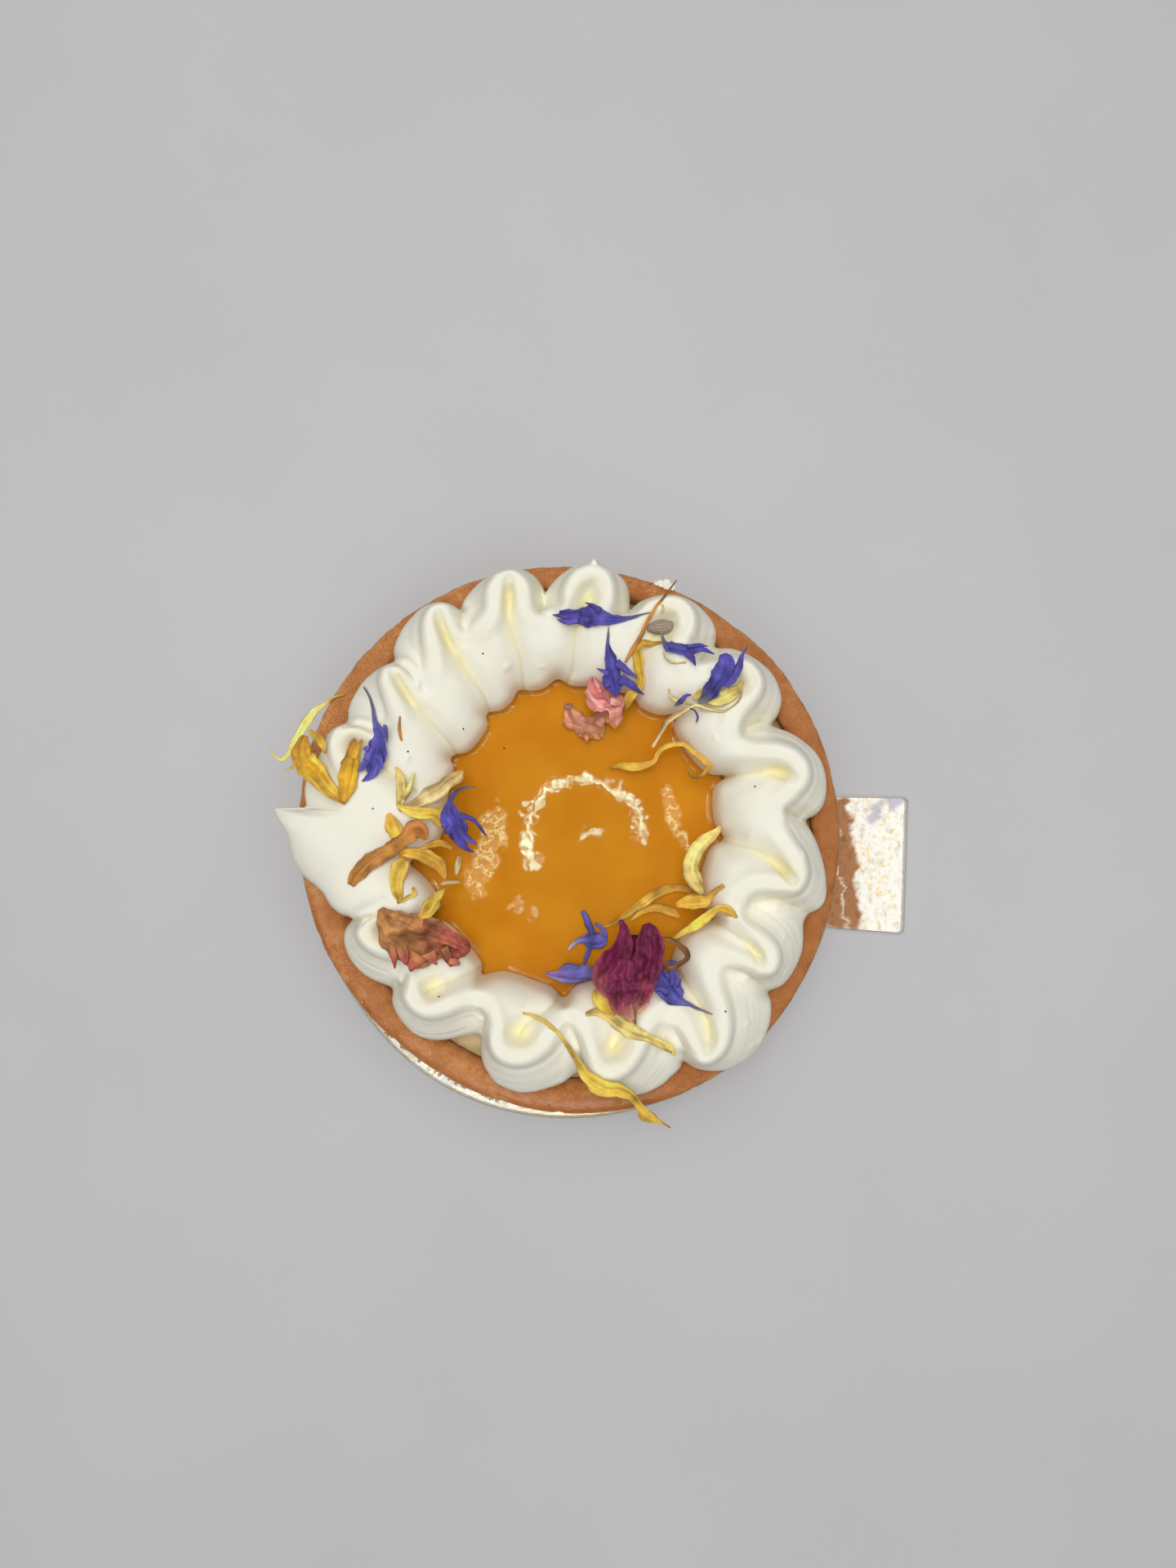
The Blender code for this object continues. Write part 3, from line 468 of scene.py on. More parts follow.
# ---------------------------------------------------------------- finishes
class NodeBoard:
    """Short ways to add and join the shader nodes of one material."""

    def __init__(self, name: str) -> None:
        """Start a Principled material.

        Args:
            name: the material's name.
        """
        self.material = bpy.data.materials.new(name)
        self.material.use_nodes = True
        self.tree = self.material.node_tree
        self.shader = self.tree.nodes["Principled BSDF"]

    def set(self, **values: float) -> None:
        """Set plain numbers on the shader's own sockets, words joined by underscores."""
        for key, value in values.items():
            self.shader.inputs[key.replace("_", " ")].default_value = value

    def drive(self, socket: str, source: bpy.types.NodeSocket) -> None:
        """Join an output to one of the shader's sockets."""
        self.tree.links.new(source, self.shader.inputs[socket])

    def place(self) -> bpy.types.NodeSocket:
        """Object coordinates, in metres."""
        return self.tree.nodes.new("ShaderNodeTexCoord").outputs["Object"]

    def stored(self, name: str, output: str = "Fac") -> bpy.types.NodeSocket:
        """A value stored on the vertices.

        Args:
            name: the attribute's name.
            output: "Fac" for a number, "Color" for a colour.

        Returns:
            The value's output.
        """
        node = self.tree.nodes.new("ShaderNodeAttribute")
        node.attribute_name = name
        return node.outputs[output]

    def noise(self, size: float, detail: float = 3.0, rough: float = 0.55,
              stretch: Optional[Triple] = None) -> bpy.types.NodeSocket:
        """Noise between 0 and 1.

        Args:
            size: the width of its cells in millimetres.
            detail: how many finer layers it has.
            rough: how strong the finer layers are.
            stretch: factors on the coordinates, where the cells aren't round.

        Returns:
            The noise's output.
        """
        node = self.tree.nodes.new("ShaderNodeTexNoise")
        node.inputs["Scale"].default_value = 1.0 / (size * MM)
        node.inputs["Detail"].default_value = detail
        node.inputs["Roughness"].default_value = rough
        source = self.place()
        if stretch is not None:
            mapping = self.tree.nodes.new("ShaderNodeMapping")
            mapping.inputs["Scale"].default_value = stretch
            self.tree.links.new(source, mapping.inputs["Vector"])
            source = mapping.outputs["Vector"]
        self.tree.links.new(source, node.inputs["Vector"])
        return node.outputs["Fac"]

    def ramp(self, source: bpy.types.NodeSocket,
             stops: Sequence[tuple[float, Colour]]) -> bpy.types.NodeSocket:
        """Colours picked along a number.

        Args:
            source: the number.
            stops: positions and their colours.

        Returns:
            The colour's output.
        """
        node = self.tree.nodes.new("ShaderNodeValToRGB")
        points = node.color_ramp.elements
        while len(points) < len(stops):
            points.new(0.5)
        for point, (position, colour) in zip(points, stops):
            point.position = position
            point.color = (*colour, 1.0)
        self.tree.links.new(source, node.inputs["Fac"])
        return node.outputs["Color"]

    def span(self, source: bpy.types.NodeSocket, low: float, high: float,
             to_low: float = 0.0, to_high: float = 1.0) -> bpy.types.NodeSocket:
        """A number moved from one range to another and held inside it.

        Args:
            source: the number.
            low: start of its range.
            high: end of its range.
            to_low: start of the new range.
            to_high: end of the new range.

        Returns:
            The moved number's output.
        """
        node = self.tree.nodes.new("ShaderNodeMapRange")
        for key, value in zip(("From Min", "From Max", "To Min", "To Max"),
                              (low, high, to_low, to_high)):
            node.inputs[key].default_value = value
        self.tree.links.new(source, node.inputs["Value"])
        return node.outputs["Result"]

    def mix(self, share: bpy.types.NodeSocket, first: object, second: object,
            mode: str = "MIX") -> bpy.types.NodeSocket:
        """Two colours, or outputs of colours, mixed by a share.

        Args:
            share: the share of the second.
            first: a colour or an output.
            second: a colour or an output.
            mode: how they are mixed.

        Returns:
            The mixed colour's output.
        """
        node = self.tree.nodes.new("ShaderNodeMix")
        node.data_type = "RGBA"
        node.blend_type = mode
        self.tree.links.new(share, node.inputs["Factor"])
        for socket, side in zip(("A", "B"), (first, second)):
            target = [s for s in node.inputs if s.name == socket and s.type == "RGBA"][0]
            if isinstance(side, tuple):
                target.default_value = (*side, 1.0)
            else:
                self.tree.links.new(side, target)
        return [s for s in node.outputs if s.type == "RGBA"][0]

    def times(self, first: bpy.types.NodeSocket, second: object) -> bpy.types.NodeSocket:
        """The product of an output and a number or another output.

        Args:
            first: an output.
            second: a number or an output.

        Returns:
            The product's output.
        """
        node = self.tree.nodes.new("ShaderNodeMath")
        node.operation = "MULTIPLY"
        self.tree.links.new(first, node.inputs[0])
        if isinstance(second, (int, float)):
            node.inputs[1].default_value = second
        else:
            self.tree.links.new(second, node.inputs[1])
        return node.outputs[0]

    def relief(self, source: bpy.types.NodeSocket, height: float,
               under: Optional[bpy.types.NodeSocket] = None) -> bpy.types.NodeSocket:
        """Bumps of the given height in millimetres, on top of another relief if given.

        Args:
            source: the bumps from 0 to 1.
            height: their height in millimetres.
            under: the relief below them.

        Returns:
            The bent normal's output.
        """
        node = self.tree.nodes.new("ShaderNodeBump")
        node.inputs["Strength"].default_value = 1.0
        node.inputs["Distance"].default_value = height * MM
        self.tree.links.new(source, node.inputs["Height"])
        if under is not None:
            self.tree.links.new(under, node.inputs["Normal"])
        return node.outputs["Normal"]


@dataclass(frozen=True)
class Finish:
    """A finish: a name, and a way to make its material once."""

    name: str

    def material(self) -> bpy.types.Material:
        """The finish's material, made on first use.

        Returns:
            The material.
        """
        found = bpy.data.materials.get(self.name)
        if found is None:
            board = NodeBoard(self.name)
            self.make(board)
            found = board.material
        return found

    def make(self, board: NodeBoard) -> None:
        """Lay out the nodes; each finish has its own."""


@dataclass(frozen=True)
class CreamFinish(Finish):
    """Whipped cream: satin white, with a pale yellow painted shade in its hollows and a darker painted
    shade along its folds.
    """

    white: Colour = (0.93, 0.904, 0.78)
    # hollow: a painted yellow shade in the cream's hollows and creases.
    hollow: Colour = (0.93, 0.85, 0.42)
    shade: Colour = (0.91, 0.88, 0.73)
    # fold: a painted shade along the creases where pillows of cream touch, and along the crest's step.
    fold: Colour = (0.58, 0.50, 0.28)

    def make(self, board: NodeBoard) -> None:
        """Mix white with the painted yellow shade by the stored hollow depth, and with the painted crease
        shade by the stored fold share; scatter light inside.

        Args:
            board: the material's nodes.
        """
        soft = board.mix(board.span(board.noise(6.0, 2.0), 0.35, 0.75), self.white, self.shade)
        # Painted yellow shade by the stored hollow share.
        tone = board.mix(board.stored("hollow"), soft, self.hollow)
        # Painted crease shade by the stored fold share.
        board.drive("Base Color", board.mix(board.times(board.stored("fold"), 0.8), tone, self.fold))
        board.drive("Roughness", board.span(board.noise(1.5, 2.0), 0.3, 0.7, 0.34, 0.46))
        board.set(Subsurface_Weight=0.15, Subsurface_Scale=0.8 * MM)
        board.shader.inputs["Subsurface Radius"].default_value = (1.0, 0.85, 0.5)
        board.drive("Normal", board.relief(board.noise(0.35, 2.0), 0.012))


@dataclass(frozen=True)
class CrustFinish(Finish):
    """Baked shortcrust: sandy brown, wet and deeper brown under glaze, with painted shade inside the wall
    and a painted highlight along the rim's edges.
    """

    dark: Colour = (0.36, 0.115, 0.024)
    middle: Colour = (0.53, 0.208, 0.058)
    light: Colour = (0.76, 0.38, 0.15)
    glazed: Colour = (0.44, 0.130, 0.018)

    def make(self, board: NodeBoard) -> None:
        """Brown by two sizes of noise; darker by a stored share of painted shade inside the wall and of
        tone; lighter by a stored painted highlight on the rim's edges; glossy where glaze is stored.

        Args:
            board: the material's nodes.
        """
        broad = board.ramp(board.noise(3.2, 5.0, 0.65),
                           [(0.34, self.dark), (0.50, self.middle), (0.66, self.light)])
        grains = board.ramp(board.noise(0.33, 2.0, 0.6),
                            [(0.36, self.dark), (0.55, self.middle), (0.70, self.light)])
        dry = board.mix(board.span(board.noise(1.1), 0.3, 0.7, 0.25, 0.75), broad, grains)
        # Darker by painted shade inside the wall, by random tone and towards one side.
        shaded_and_toned = board.mix(board.stored("inner_shade_and_tone"), dry, self.dark)
        # The stored pale share is a painted highlight along the rim's edges.
        pale = board.mix(board.stored("pale"), shaded_and_toned, self.light)
        wet = board.stored("wet")
        board.drive("Base Color", board.mix(board.times(wet, 0.7), pale, self.glazed))
        board.drive("Roughness", board.span(wet, 0.15, 0.8, 0.62, 0.25))
        board.drive("Coat Weight", board.span(wet, 0.2, 0.6, 0.0, 0.7))
        board.set(Coat_Roughness=0.04)
        board.drive("Coat Normal", board.relief(board.noise(1.1, 2.0), 0.16))
        board.drive("Normal", board.relief(board.noise(0.4, 4.0, 0.7), 0.05))
        board.set(Subsurface_Weight=0.05, Subsurface_Scale=0.6 * MM)


@dataclass(frozen=True)
class FillingFinish(Finish):
    """Baked citrus filling: pale beige, with a wet shine."""

    pale: Colour = (0.72, 0.56, 0.30)
    deep: Colour = (0.50, 0.30, 0.11)

    def make(self, board: NodeBoard) -> None:
        """Two beiges mixed by noise, under a gloss.

        Args:
            board: the material's nodes.
        """
        tone = board.mix(board.span(board.noise(4.0), 0.35, 0.7), self.pale, self.deep)
        board.drive("Base Color", tone)
        board.drive("Normal", board.relief(board.noise(1.5, 2.0), 0.05))
        board.set(Roughness=0.18, Subsurface_Weight=0.2, Subsurface_Scale=1.0 * MM)


@dataclass(frozen=True)
class GelFinish(Finish):
    """Citrus gel: clear deep amber with a mirror shine, dull where a skin has formed; the skin is also
    paler by a painted reflection and carries painted highlight lines.
    """

    amber: Colour = (0.60, 0.215, 0.006)
    bright: Colour = (0.66, 0.265, 0.010)
    # The skin colour is partly a painted reflection; the gloss colour gives painted highlight lines.
    skin_and_sheen: Colour = (0.76, 0.40, 0.09)
    painted_highlight: Colour = (0.98, 0.78, 0.36)

    def make(self, board: NodeBoard) -> None:
        """Amber by broad noise, and by its stored share the skin, paler by a painted reflection and lined
        with painted highlights.

        Args:
            board: the material's nodes.
        """
        body = board.mix(board.span(board.noise(9.0, 2.0), 0.35, 0.65), self.amber, self.bright)
        skin_and_sheen = board.stored("skin_and_sheen")
        grain = board.times(skin_and_sheen, board.span(board.noise(0.7, 3.0, 0.7), 0.30, 0.70, 0.1, 0.9))
        # Painted highlight lines on the skin.
        lines = board.ramp(board.noise(1.7, 3.0, 0.6), [(0.45, BLACK), (0.50, WHITE), (0.55, BLACK)])
        with_painted_lines = board.mix(board.times(skin_and_sheen, lines), board.mix(grain, body, self.skin_and_sheen), self.painted_highlight)
        board.drive("Base Color", with_painted_lines)
        board.drive("Roughness", board.span(skin_and_sheen, 0.0, 1.0, 0.02, 0.30))
        ripple = board.relief(board.noise(0.4, 2.0), 0.0005, board.relief(board.noise(2.2, 1.0), 0.002))
        board.drive("Normal", board.relief(board.times(skin_and_sheen, board.noise(0.5, 3.0)), 0.10, ripple))
        board.set(Subsurface_Weight=0.15, Subsurface_Scale=2.0 * MM, Specular_IOR_Level=0.5)
        board.shader.inputs["Subsurface Radius"].default_value = (1.0, 0.35, 0.05)


@dataclass(frozen=True)
class FoilFinish(Finish):
    """Gold foil on grey board: hammered, with a painted glare where it faces the light, a painted
    brown reflection of the crust and a painted lilac reflection, and dull at a cut edge."""

    gold: Colour = (0.95, 0.72, 0.36)
    pale_gold: Colour = (0.98, 0.84, 0.52)
    # The glare colour is a painted glare; the warm and lilac colours are painted reflections.
    glare: Colour = (1.0, 0.98, 0.90)
    painted_crust_reflection: Colour = (0.40, 0.17, 0.065)
    painted_lilac_reflection: Colour = (0.60, 0.56, 0.62)
    board_grey: Colour = (0.42, 0.38, 0.33)

    def make(self, board: NodeBoard) -> None:
        """Metal with two sizes of dents; stored shares paint glare, a brown and a lilac reflection on it,
        or turn it into board.

        Args:
            board: the material's nodes.
        """
        core = board.stored("core")
        plain = board.mix(board.span(board.noise(1.0, 3.0, 0.6), 0.40, 0.62), self.gold, self.pale_gold)
        glare = board.times(board.stored("glare"), board.span(board.noise(0.8, 3.0, 0.6), 0.66, 0.50))
        bright = board.mix(glare, plain, self.glare)
        tone = board.mix(board.stored("painted_crust_reflection"), bright, self.painted_crust_reflection)
        tone = board.mix(board.stored("painted_lilac_reflection"), tone, self.painted_lilac_reflection)
        board.drive("Base Color", board.mix(core, tone, self.board_grey))
        board.drive("Metallic", board.span(core, 0.0, 1.0, 0.4, 0.0))
        board.drive("Roughness", board.span(core, 0.0, 1.0, 0.22, 0.8))
        board.drive("Normal", board.relief(board.noise(1.4, 2.0), 0.10,
                                           board.relief(board.noise(0.45, 2.0), 0.03)))


@dataclass(frozen=True)
class PetalFinish(Finish):
    """A dried petal: its own stored colours, with fine fibres along it."""

    roughness: float = 0.55
    clear: float = 0.0
    mottle: float = 0.3

    def make(self, board: NodeBoard) -> None:
        """The stored colour, made uneven by noise, over a fibrous relief.

        Args:
            board: the material's nodes.
        """
        tint = board.stored("tint", "Color")
        dark = board.mix(board.span(board.noise(0.6, 3.0), 0.45, 0.75, 0.0, self.mottle),
                         tint, (0.5, 0.42, 0.35), "MULTIPLY")
        board.drive("Base Color", dark)
        board.drive("Normal", board.relief(board.stored("fibre"), 0.05,
                                           board.relief(board.noise(0.5, 3.0), 0.03)))
        board.set(Roughness=self.roughness, Subsurface_Weight=0.15 + self.clear,
                  Subsurface_Scale=0.4 * MM, Coat_Weight=0.08)


@dataclass(frozen=True)
class SpeckFinish(Finish):
    """Near-black vanilla seeds and dark stamens."""

    dark: Colour = (0.02, 0.014, 0.012)
    brown: Colour = (0.09, 0.05, 0.03)

    def make(self, board: NodeBoard) -> None:
        """Two dark browns mixed by fine noise."""
        board.drive("Base Color", board.mix(board.noise(0.2), self.dark, self.brown))
        board.set(Roughness=0.6)


@dataclass(frozen=True)
class PlainFinish(Finish):
    """The studio floor: pale, matt and faintly uneven."""

    pale: Colour = (0.56, 0.56, 0.57)
    paler: Colour = (0.62, 0.62, 0.63)

    def make(self, board: NodeBoard) -> None:
        """Two pale greys mixed by broad noise."""
        board.drive("Base Color", board.mix(board.noise(60.0), self.pale, self.paler))
        board.set(Roughness=0.85)


# ---------------------------------------------------------------- shared sizes
@dataclass(frozen=True)
class Levels:
    """Heights of the layers above the card's underside, in millimetres."""

    card_top: float = 1.2
    shell_seat: float = 1.5
    shell_floor: float = 4.5
    rim_top: float = 21.0
    filling_base: float = 4.8
    filling_top: float = 17.7
    gel_base: float = 18.0
    gel_edge: float = 19.5
    gel_middle: float = 19.8
    cream_edge: float = 22.4


LEVELS = Levels()


@dataclass
class CakeCard:
    """The round gold card with its straight pull tab."""

    radius: float = 44.65
    centre: Point = (-1.0, -0.75)
    worn: float = 1.5
    worn_at: float = 211.0
    worn_width: float = 25.0
    tab_reach: float = 55.0
    half_root: float = 10.8
    half_end: float = 11.2
    heading: float = -2.5
    offset: float = -1.7
    thickness: float = 1.2
    dent: float = 0.05
    edge_round: float = 0.12
    # Bounds of the painted crust reflection on the tab, of the painted glare on the open crescent, and of
    # the painted lilac reflection along a stripe.
    crust_reflection_to: float = 46.4
    open_at: float = 240.0
    stripe_heading: Point = (0.826, 0.562)
    stripe_at: float = -24.2
    stripe_half: float = 1.6
    stripe_from: float = 41.6
    hub: Point = (2.0, -0.8)
    bevel: float = 0.997
    tab_from: float = 38.0
    tab_corner: float = 0.5
    # Where the painted glare starts on the tab, and where it starts and how wide it is on the open
    # crescent.
    glare_from: float = 43.0
    open_from: float = 42.0
    open_width: float = 28.0
    noise: Noise = field(default_factory=lambda: Noise(11))

    def outline(self, sides: int) -> Array:
        """Plan points round the card: an even arc and the three sides of the tab.

        Args:
            sides: the number of points on the arc.

        Returns:
            Points in plan, counter-clockwise.
        """
        heading = math.radians(self.heading)
        forward = np.array([math.cos(heading), math.sin(heading)])
        side = np.array([-forward[1], forward[0]])
        root, middle = np.array([0.0, self.offset]), np.array(self.centre)

        def tab(reach: float, half: float) -> Array:
            """A point of the tab, by its reach and its distance from the middle line."""
            return root + forward * reach + side * half

        shoulder = math.sqrt(self.radius ** 2 - self.half_root ** 2)
        upper, lower = tab(shoulder, self.half_root) - middle, tab(shoulder, -self.half_root) - middle
        first, last = math.atan2(upper[1], upper[0]), math.atan2(lower[1], lower[0]) + TURN
        angle = np.linspace(first, last, sides)
        worn = self.worn * np.exp(-((np.degrees(angle) - self.worn_at) / self.worn_width) ** 2)
        arc = middle + (self.radius - worn)[:, None] * np.stack([np.cos(angle), np.sin(angle)], axis=-1)
        reach = np.linspace(shoulder, self.tab_reach - self.tab_corner, 26)[1:]
        share = (reach - shoulder) / (self.tab_reach - shoulder)
        half = self.half_root + (self.half_end - self.half_root) * share
        straight = self.half_end - self.tab_corner
        across = np.linspace(-straight, straight, 60)
        run_out = np.array([tab(r, -h) for r, h in zip(reach, half)])
        end = np.array([tab(self.tab_reach, h) for h in across])
        run_back = np.array([tab(r, h) for r, h in zip(reach[::-1], half[::-1])])
        return np.vstack([arc, run_out, end, run_back])

    def build(self) -> bpy.types.Object:
        """Shrink the outline towards a hub ring by ring; round the edge; dent the top.

        Returns:
            The finished piece.
        """
        rim, middle = self.outline(360), np.array(self.hub)
        shares = np.concatenate([np.linspace(0.06, 0.55, 16), np.linspace(0.57, 0.985, 76), [self.bevel]])
        rings = [middle + (rim - middle) * share for share in shares]
        top = np.full(len(rim), self.thickness)
        rows = [(ring, top) for ring in rings]
        for inset, drop in ((self.bevel, self.edge_round), (1.0, self.edge_round * 2.5),
                            (1.0, self.thickness - self.edge_round * 2.5), (self.bevel, self.thickness)):
            rows.append((middle + (rim - middle) * inset, top - drop))
        rows += [(middle + (rim - middle) * share, top * 0.0) for share in (0.9, 0.5, 0.06)]
        grid = np.stack([np.column_stack([plan, z]) for plan, z in rows])
        flat = grid * (1.0, 1.0, 0.0)
        dents = self.noise.layered(flat, 1.1, 2) + 0.6 * self.noise.at(flat, 4.0)
        on_top = grid[..., 2] > self.thickness - 1e-6
        grid[..., 2] += np.where(on_top, self.dent * (dents - 1.2), 0.0)
        points = np.vstack([grid.reshape(-1, 3), (*middle, grid[0, :, 2].mean()), (*middle, 0.0)])
        card = capped("gold_card", points, len(rim))
        self.store_shares(card, points)
        return hand_over(card, FoilFinish("gold_foil"), "card", "cake_board")

    def store_shares(self, card: bpy.types.Object, points: Array) -> None:
        """Store the shares of board core, painted brown reflection, painted glare and painted lilac
        reflection on the card's vertices.

        Args:
            card: the card's object.
            points: its vertices in millimetres.
        """
        core = (points[:, 2] > 0.2) & (points[:, 2] < self.thickness - 0.25)
        put_values(card, "core", core.astype(float))
        # A painted brown reflection of the crust on the tab, broken by a bright line.
        border = self.crust_reflection_to - 0.10 * points[:, 1] - points[:, 0]
        grain = self.noise.layered(points, 1.1, 3)
        painted_crust_reflection = held(border / 0.7 + 0.9 * grain)
        bubbles = held(1.0 - np.abs(border - 3.0 + 0.8 * grain) / 0.35)
        aside = np.abs(points[:, 1] - self.offset - math.tan(math.radians(self.heading)) * points[:, 0])
        on_tab = held((self.half_end - aside + 0.5 * grain) / 0.8)
        on_tab = (points[:, 0] > self.tab_from) * on_tab
        put_values(card, "painted_crust_reflection", painted_crust_reflection * (1.0 - 0.9 * bubbles) * on_tab)
        # Painted glare on the open crescent of the card and on the tab's end.
        turn = np.degrees(np.arctan2(points[:, 1], points[:, 0])) % 360.0
        open_edge = np.exp(-((turn - self.open_at) / self.open_width) ** 2)
        open_edge = open_edge * (np.hypot(*points[:, :2].T) > self.open_from)
        on_end = held((points[:, 0] - self.glare_from) / 1.5)
        put_values(card, "glare", np.maximum(on_end, open_edge))
        # A painted lilac reflection along a stripe on the tab.
        along = points[:, :2] @ self.stripe_heading
        across = points[:, :2] @ (-self.stripe_heading[1], self.stripe_heading[0])
        stripe = np.clip(1.0 - np.abs(across - self.stripe_at) / self.stripe_half, 0.0, 0.4) * 2.5
        stripe = stripe * held((along - self.stripe_from) / 0.8)
        put_values(card, "painted_lilac_reflection", stripe * held(1.0 + 1.5 * grain))


@dataclass
class TartShell:
    """The shortcrust cup: floor, upright wall and a sandy, softly rounded rim."""

    radius: float = 40.35
    offset: float = 0.75
    offset_at: float = 130.0
    oval: float = 0.65
    oval_at: float = 118.0
    wall: float = 2.8
    lip: float = 0.9
    lip_more: float = 1.2
    lip_at: float = 238.0
    lip_round: float = 1.3
    lip_power: float = 0.62
    uneven: float = 0.2
    sand: float = 0.075
    pit: float = 2.2
    chip: float = 0.35
    glaze_thick: float = 0.16
    lip_sag: float = 0.45
    sides: int = 720
    # How much darker the crust is made towards one side, and that side's angle in degrees.
    browner: float = 0.6
    browner_at: float = -12.0
    glaze_from: float = 188.0
    glaze_to: float = 296.0
    glaze_fade: float = 9.0
    glaze_above: float = 13.0
    glaze_beyond: float = 37.6
    noise: Noise = field(default_factory=lambda: Noise(23))

    # Where the rim has spread, or drawn in: middle and half width in degrees, millimetres.
    bulges: tuple[Triple, ...] = (
        (32.0, 50.0, 0.75), (160.0, 55.0, 0.5), (243.0, 45.0, -0.55), (304.0, 32.0, 0.6))

    def outer(self, angle: Array) -> Array:
        """Outer radius: a round, pushed out on one side and slightly oval."""
        return (self.radius + self.offset * np.cos(angle - math.radians(self.offset_at))
                + self.oval * np.cos(2.0 * (angle - math.radians(self.oval_at))))

    def spread(self, angle: Array) -> Array:
        """How much wider the rim is: for each bulge, a squared cosine over its half width.

        Args:
            angle: the directions in radians.

        Returns:
            Millimetres for each direction.
        """
        total = np.zeros(len(angle))
        for middle, half, most in self.bulges:
            apart = np.abs((np.degrees(angle) - middle + 180.0) % 360.0 - 180.0)
            total += most * np.cos(0.5 * math.pi * held(apart / half)) ** 2
        return total

    @staticmethod
    def slow(angle: Array, phase: float) -> Array:
        """A slow deviation of the rim: three sine waves of 3, 7 and 16 turns."""
        return (0.5 * np.sin(3 * angle + phase) + 0.3 * np.sin(7 * angle + 2 * phase)
                + 0.2 * np.sin(16 * angle + 3 * phase))

    def profile(self) -> Array:
        """Rows of (share of the wall from inside to outside, height, rim share).

        The profile goes up the inside, over the rim as half a superellipse, and down the
        outside.

        Returns:
            The rows from the floor inside to the foot outside.
        """
        base, top = LEVELS.shell_floor, LEVELS.rim_top
        inside = [(0.0, z, 0.0) for z in np.linspace(base, 14.0, 4)]
        inside += [(0.0, z, 0.0) for z in np.linspace(14.6, top - self.lip_round, 14)]
        turn = np.linspace(math.pi, 0.0, 26)[1:-1]
        rim = [(0.5 + 0.5 * np.sign(math.cos(t)) * abs(math.cos(t)) ** self.lip_power,
                top - self.lip_round + self.lip_round * abs(math.sin(t)) ** self.lip_power, 1.0)
               for t in turn]
        outside = [(1.0, z, 0.0) for z in np.linspace(top - 1.4, LEVELS.shell_seat + 0.5, 44)]
        foot = [(0.97, LEVELS.shell_seat + 0.15, 0.0), (0.90, LEVELS.shell_seat, 0.0)]
        return np.array(inside + rim + outside + foot)

    def build(self) -> bpy.types.Object:
        """Carry the profile round the outline; add unevenness, sand and glaze.

        Returns:
            The finished piece.
        """
        rows = self.profile()
        angle = np.arange(self.sides) * TURN / self.sides
        share, level, on_rim = (rows[:, k, None] for k in range(3))
        outer = self.outer(angle)
        above = held((level - LEVELS.filling_top - 0.2) / 0.5)
        swing = held(np.cos(angle - math.radians(self.lip_at)) * 1.6)
        inward = (self.lip + self.lip_more * swing) * above
        radii = outer - (self.wall + inward) * (1.0 - share)
        lift = held((level - 10.0) / 11.0)
        radii = radii + (self.spread(angle) + self.uneven * self.slow(angle, 0.7)) * share * lift
        heights = level + self.uneven * self.slow(angle, 2.1) * lift
        heights = heights - self.lip_sag * inward * held(1.0 - 2.0 * share) ** 2 * (level > 18.6)
        points = round_points(angle, radii, heights)
        wet = self.glaze(points, np.degrees(angle) % 360.0)
        sand = self.noise.layered(points, 0.9, 3) + 0.9 * self.noise.layered(points + 7.0, 3.5, 2)
        pits = -held(self.noise.at(points + 31.0, 0.8) - 0.45)
        bump = self.sand * (sand + self.pit * pits) * (1.0 - 0.85 * wet) + self.glaze_thick * wet
        chips = -self.chip * held(self.noise.at(points + 3.0, 2.3) - 0.42)
        corner = on_rim * np.abs(share - 0.5) * 2.0
        outward = np.where(share > 0.5, 1.0, -1.0) * np.where(on_rim > 0, np.abs(2 * share - 1), 1.0)
        radii = radii + outward * (bump + chips * corner)
        upward = on_rim * np.sqrt(held(1.0 - (2 * share - 1) ** 2))
        heights = heights + upward * bump + chips * corner
        shell = turned("shortcrust_shell", radii, heights)
        put_values(shell, "wet", np.concatenate([wet.ravel(), [0.0, 0.0]]))
        # Painted shade: darker towards the inside of the wall and less on the rim, with random tone and a
        # darkening towards one side.
        inner_shade_and_tone = held(0.55 - 0.55 * share) * (1.0 - on_rim * 0.6) + 0.0 * radii
        inner_shade_and_tone = inner_shade_and_tone + 0.30 * held(self.noise.layered(points, 7.0, 2))
        inner_shade_and_tone = inner_shade_and_tone + self.browner * held(np.cos(angle - math.radians(self.browner_at)))
        put_values(shell, "inner_shade_and_tone", np.concatenate([inner_shade_and_tone.ravel(), [0.5, 0.5]]))
        # Painted highlight: paler along the rim's inner and outer edges.
        pale = held(corner - 0.55) * 1.2 * held(0.6 + self.noise.at(points, 1.2))
        put_values(shell, "pale", np.concatenate([(pale * (1 - wet)).ravel(), [0.0, 0.0]]))
        return hand_over(shell, CrustFinish("shortcrust"), "crust", "tart_shell")

    def glaze(self, points: Array, degrees: Array) -> Array:
        """Share of glaze: blobs of noise between two angles, near the outer edge of the rim.

        Args:
            points: the shell's points.
            degrees: the direction of each.

        Returns:
            One share for each point.
        """
        middle = 0.5 * (self.glaze_from + self.glaze_to)
        half = 0.5 * (self.glaze_to - self.glaze_from)
        within = held((half - np.abs(degrees - middle)) / self.glaze_fade)
        high = held((points[..., 2] - self.glaze_above) / 5.0)
        blobs = self.noise.layered(points + 50.0, 3.0, 2)
        beyond = np.hypot(points[..., 0], points[..., 1]) - self.glaze_beyond
        outer = held(0.35 + 0.65 * beyond / 2.2)
        return held((blobs + 0.62) * 2.2) * within * high * outer


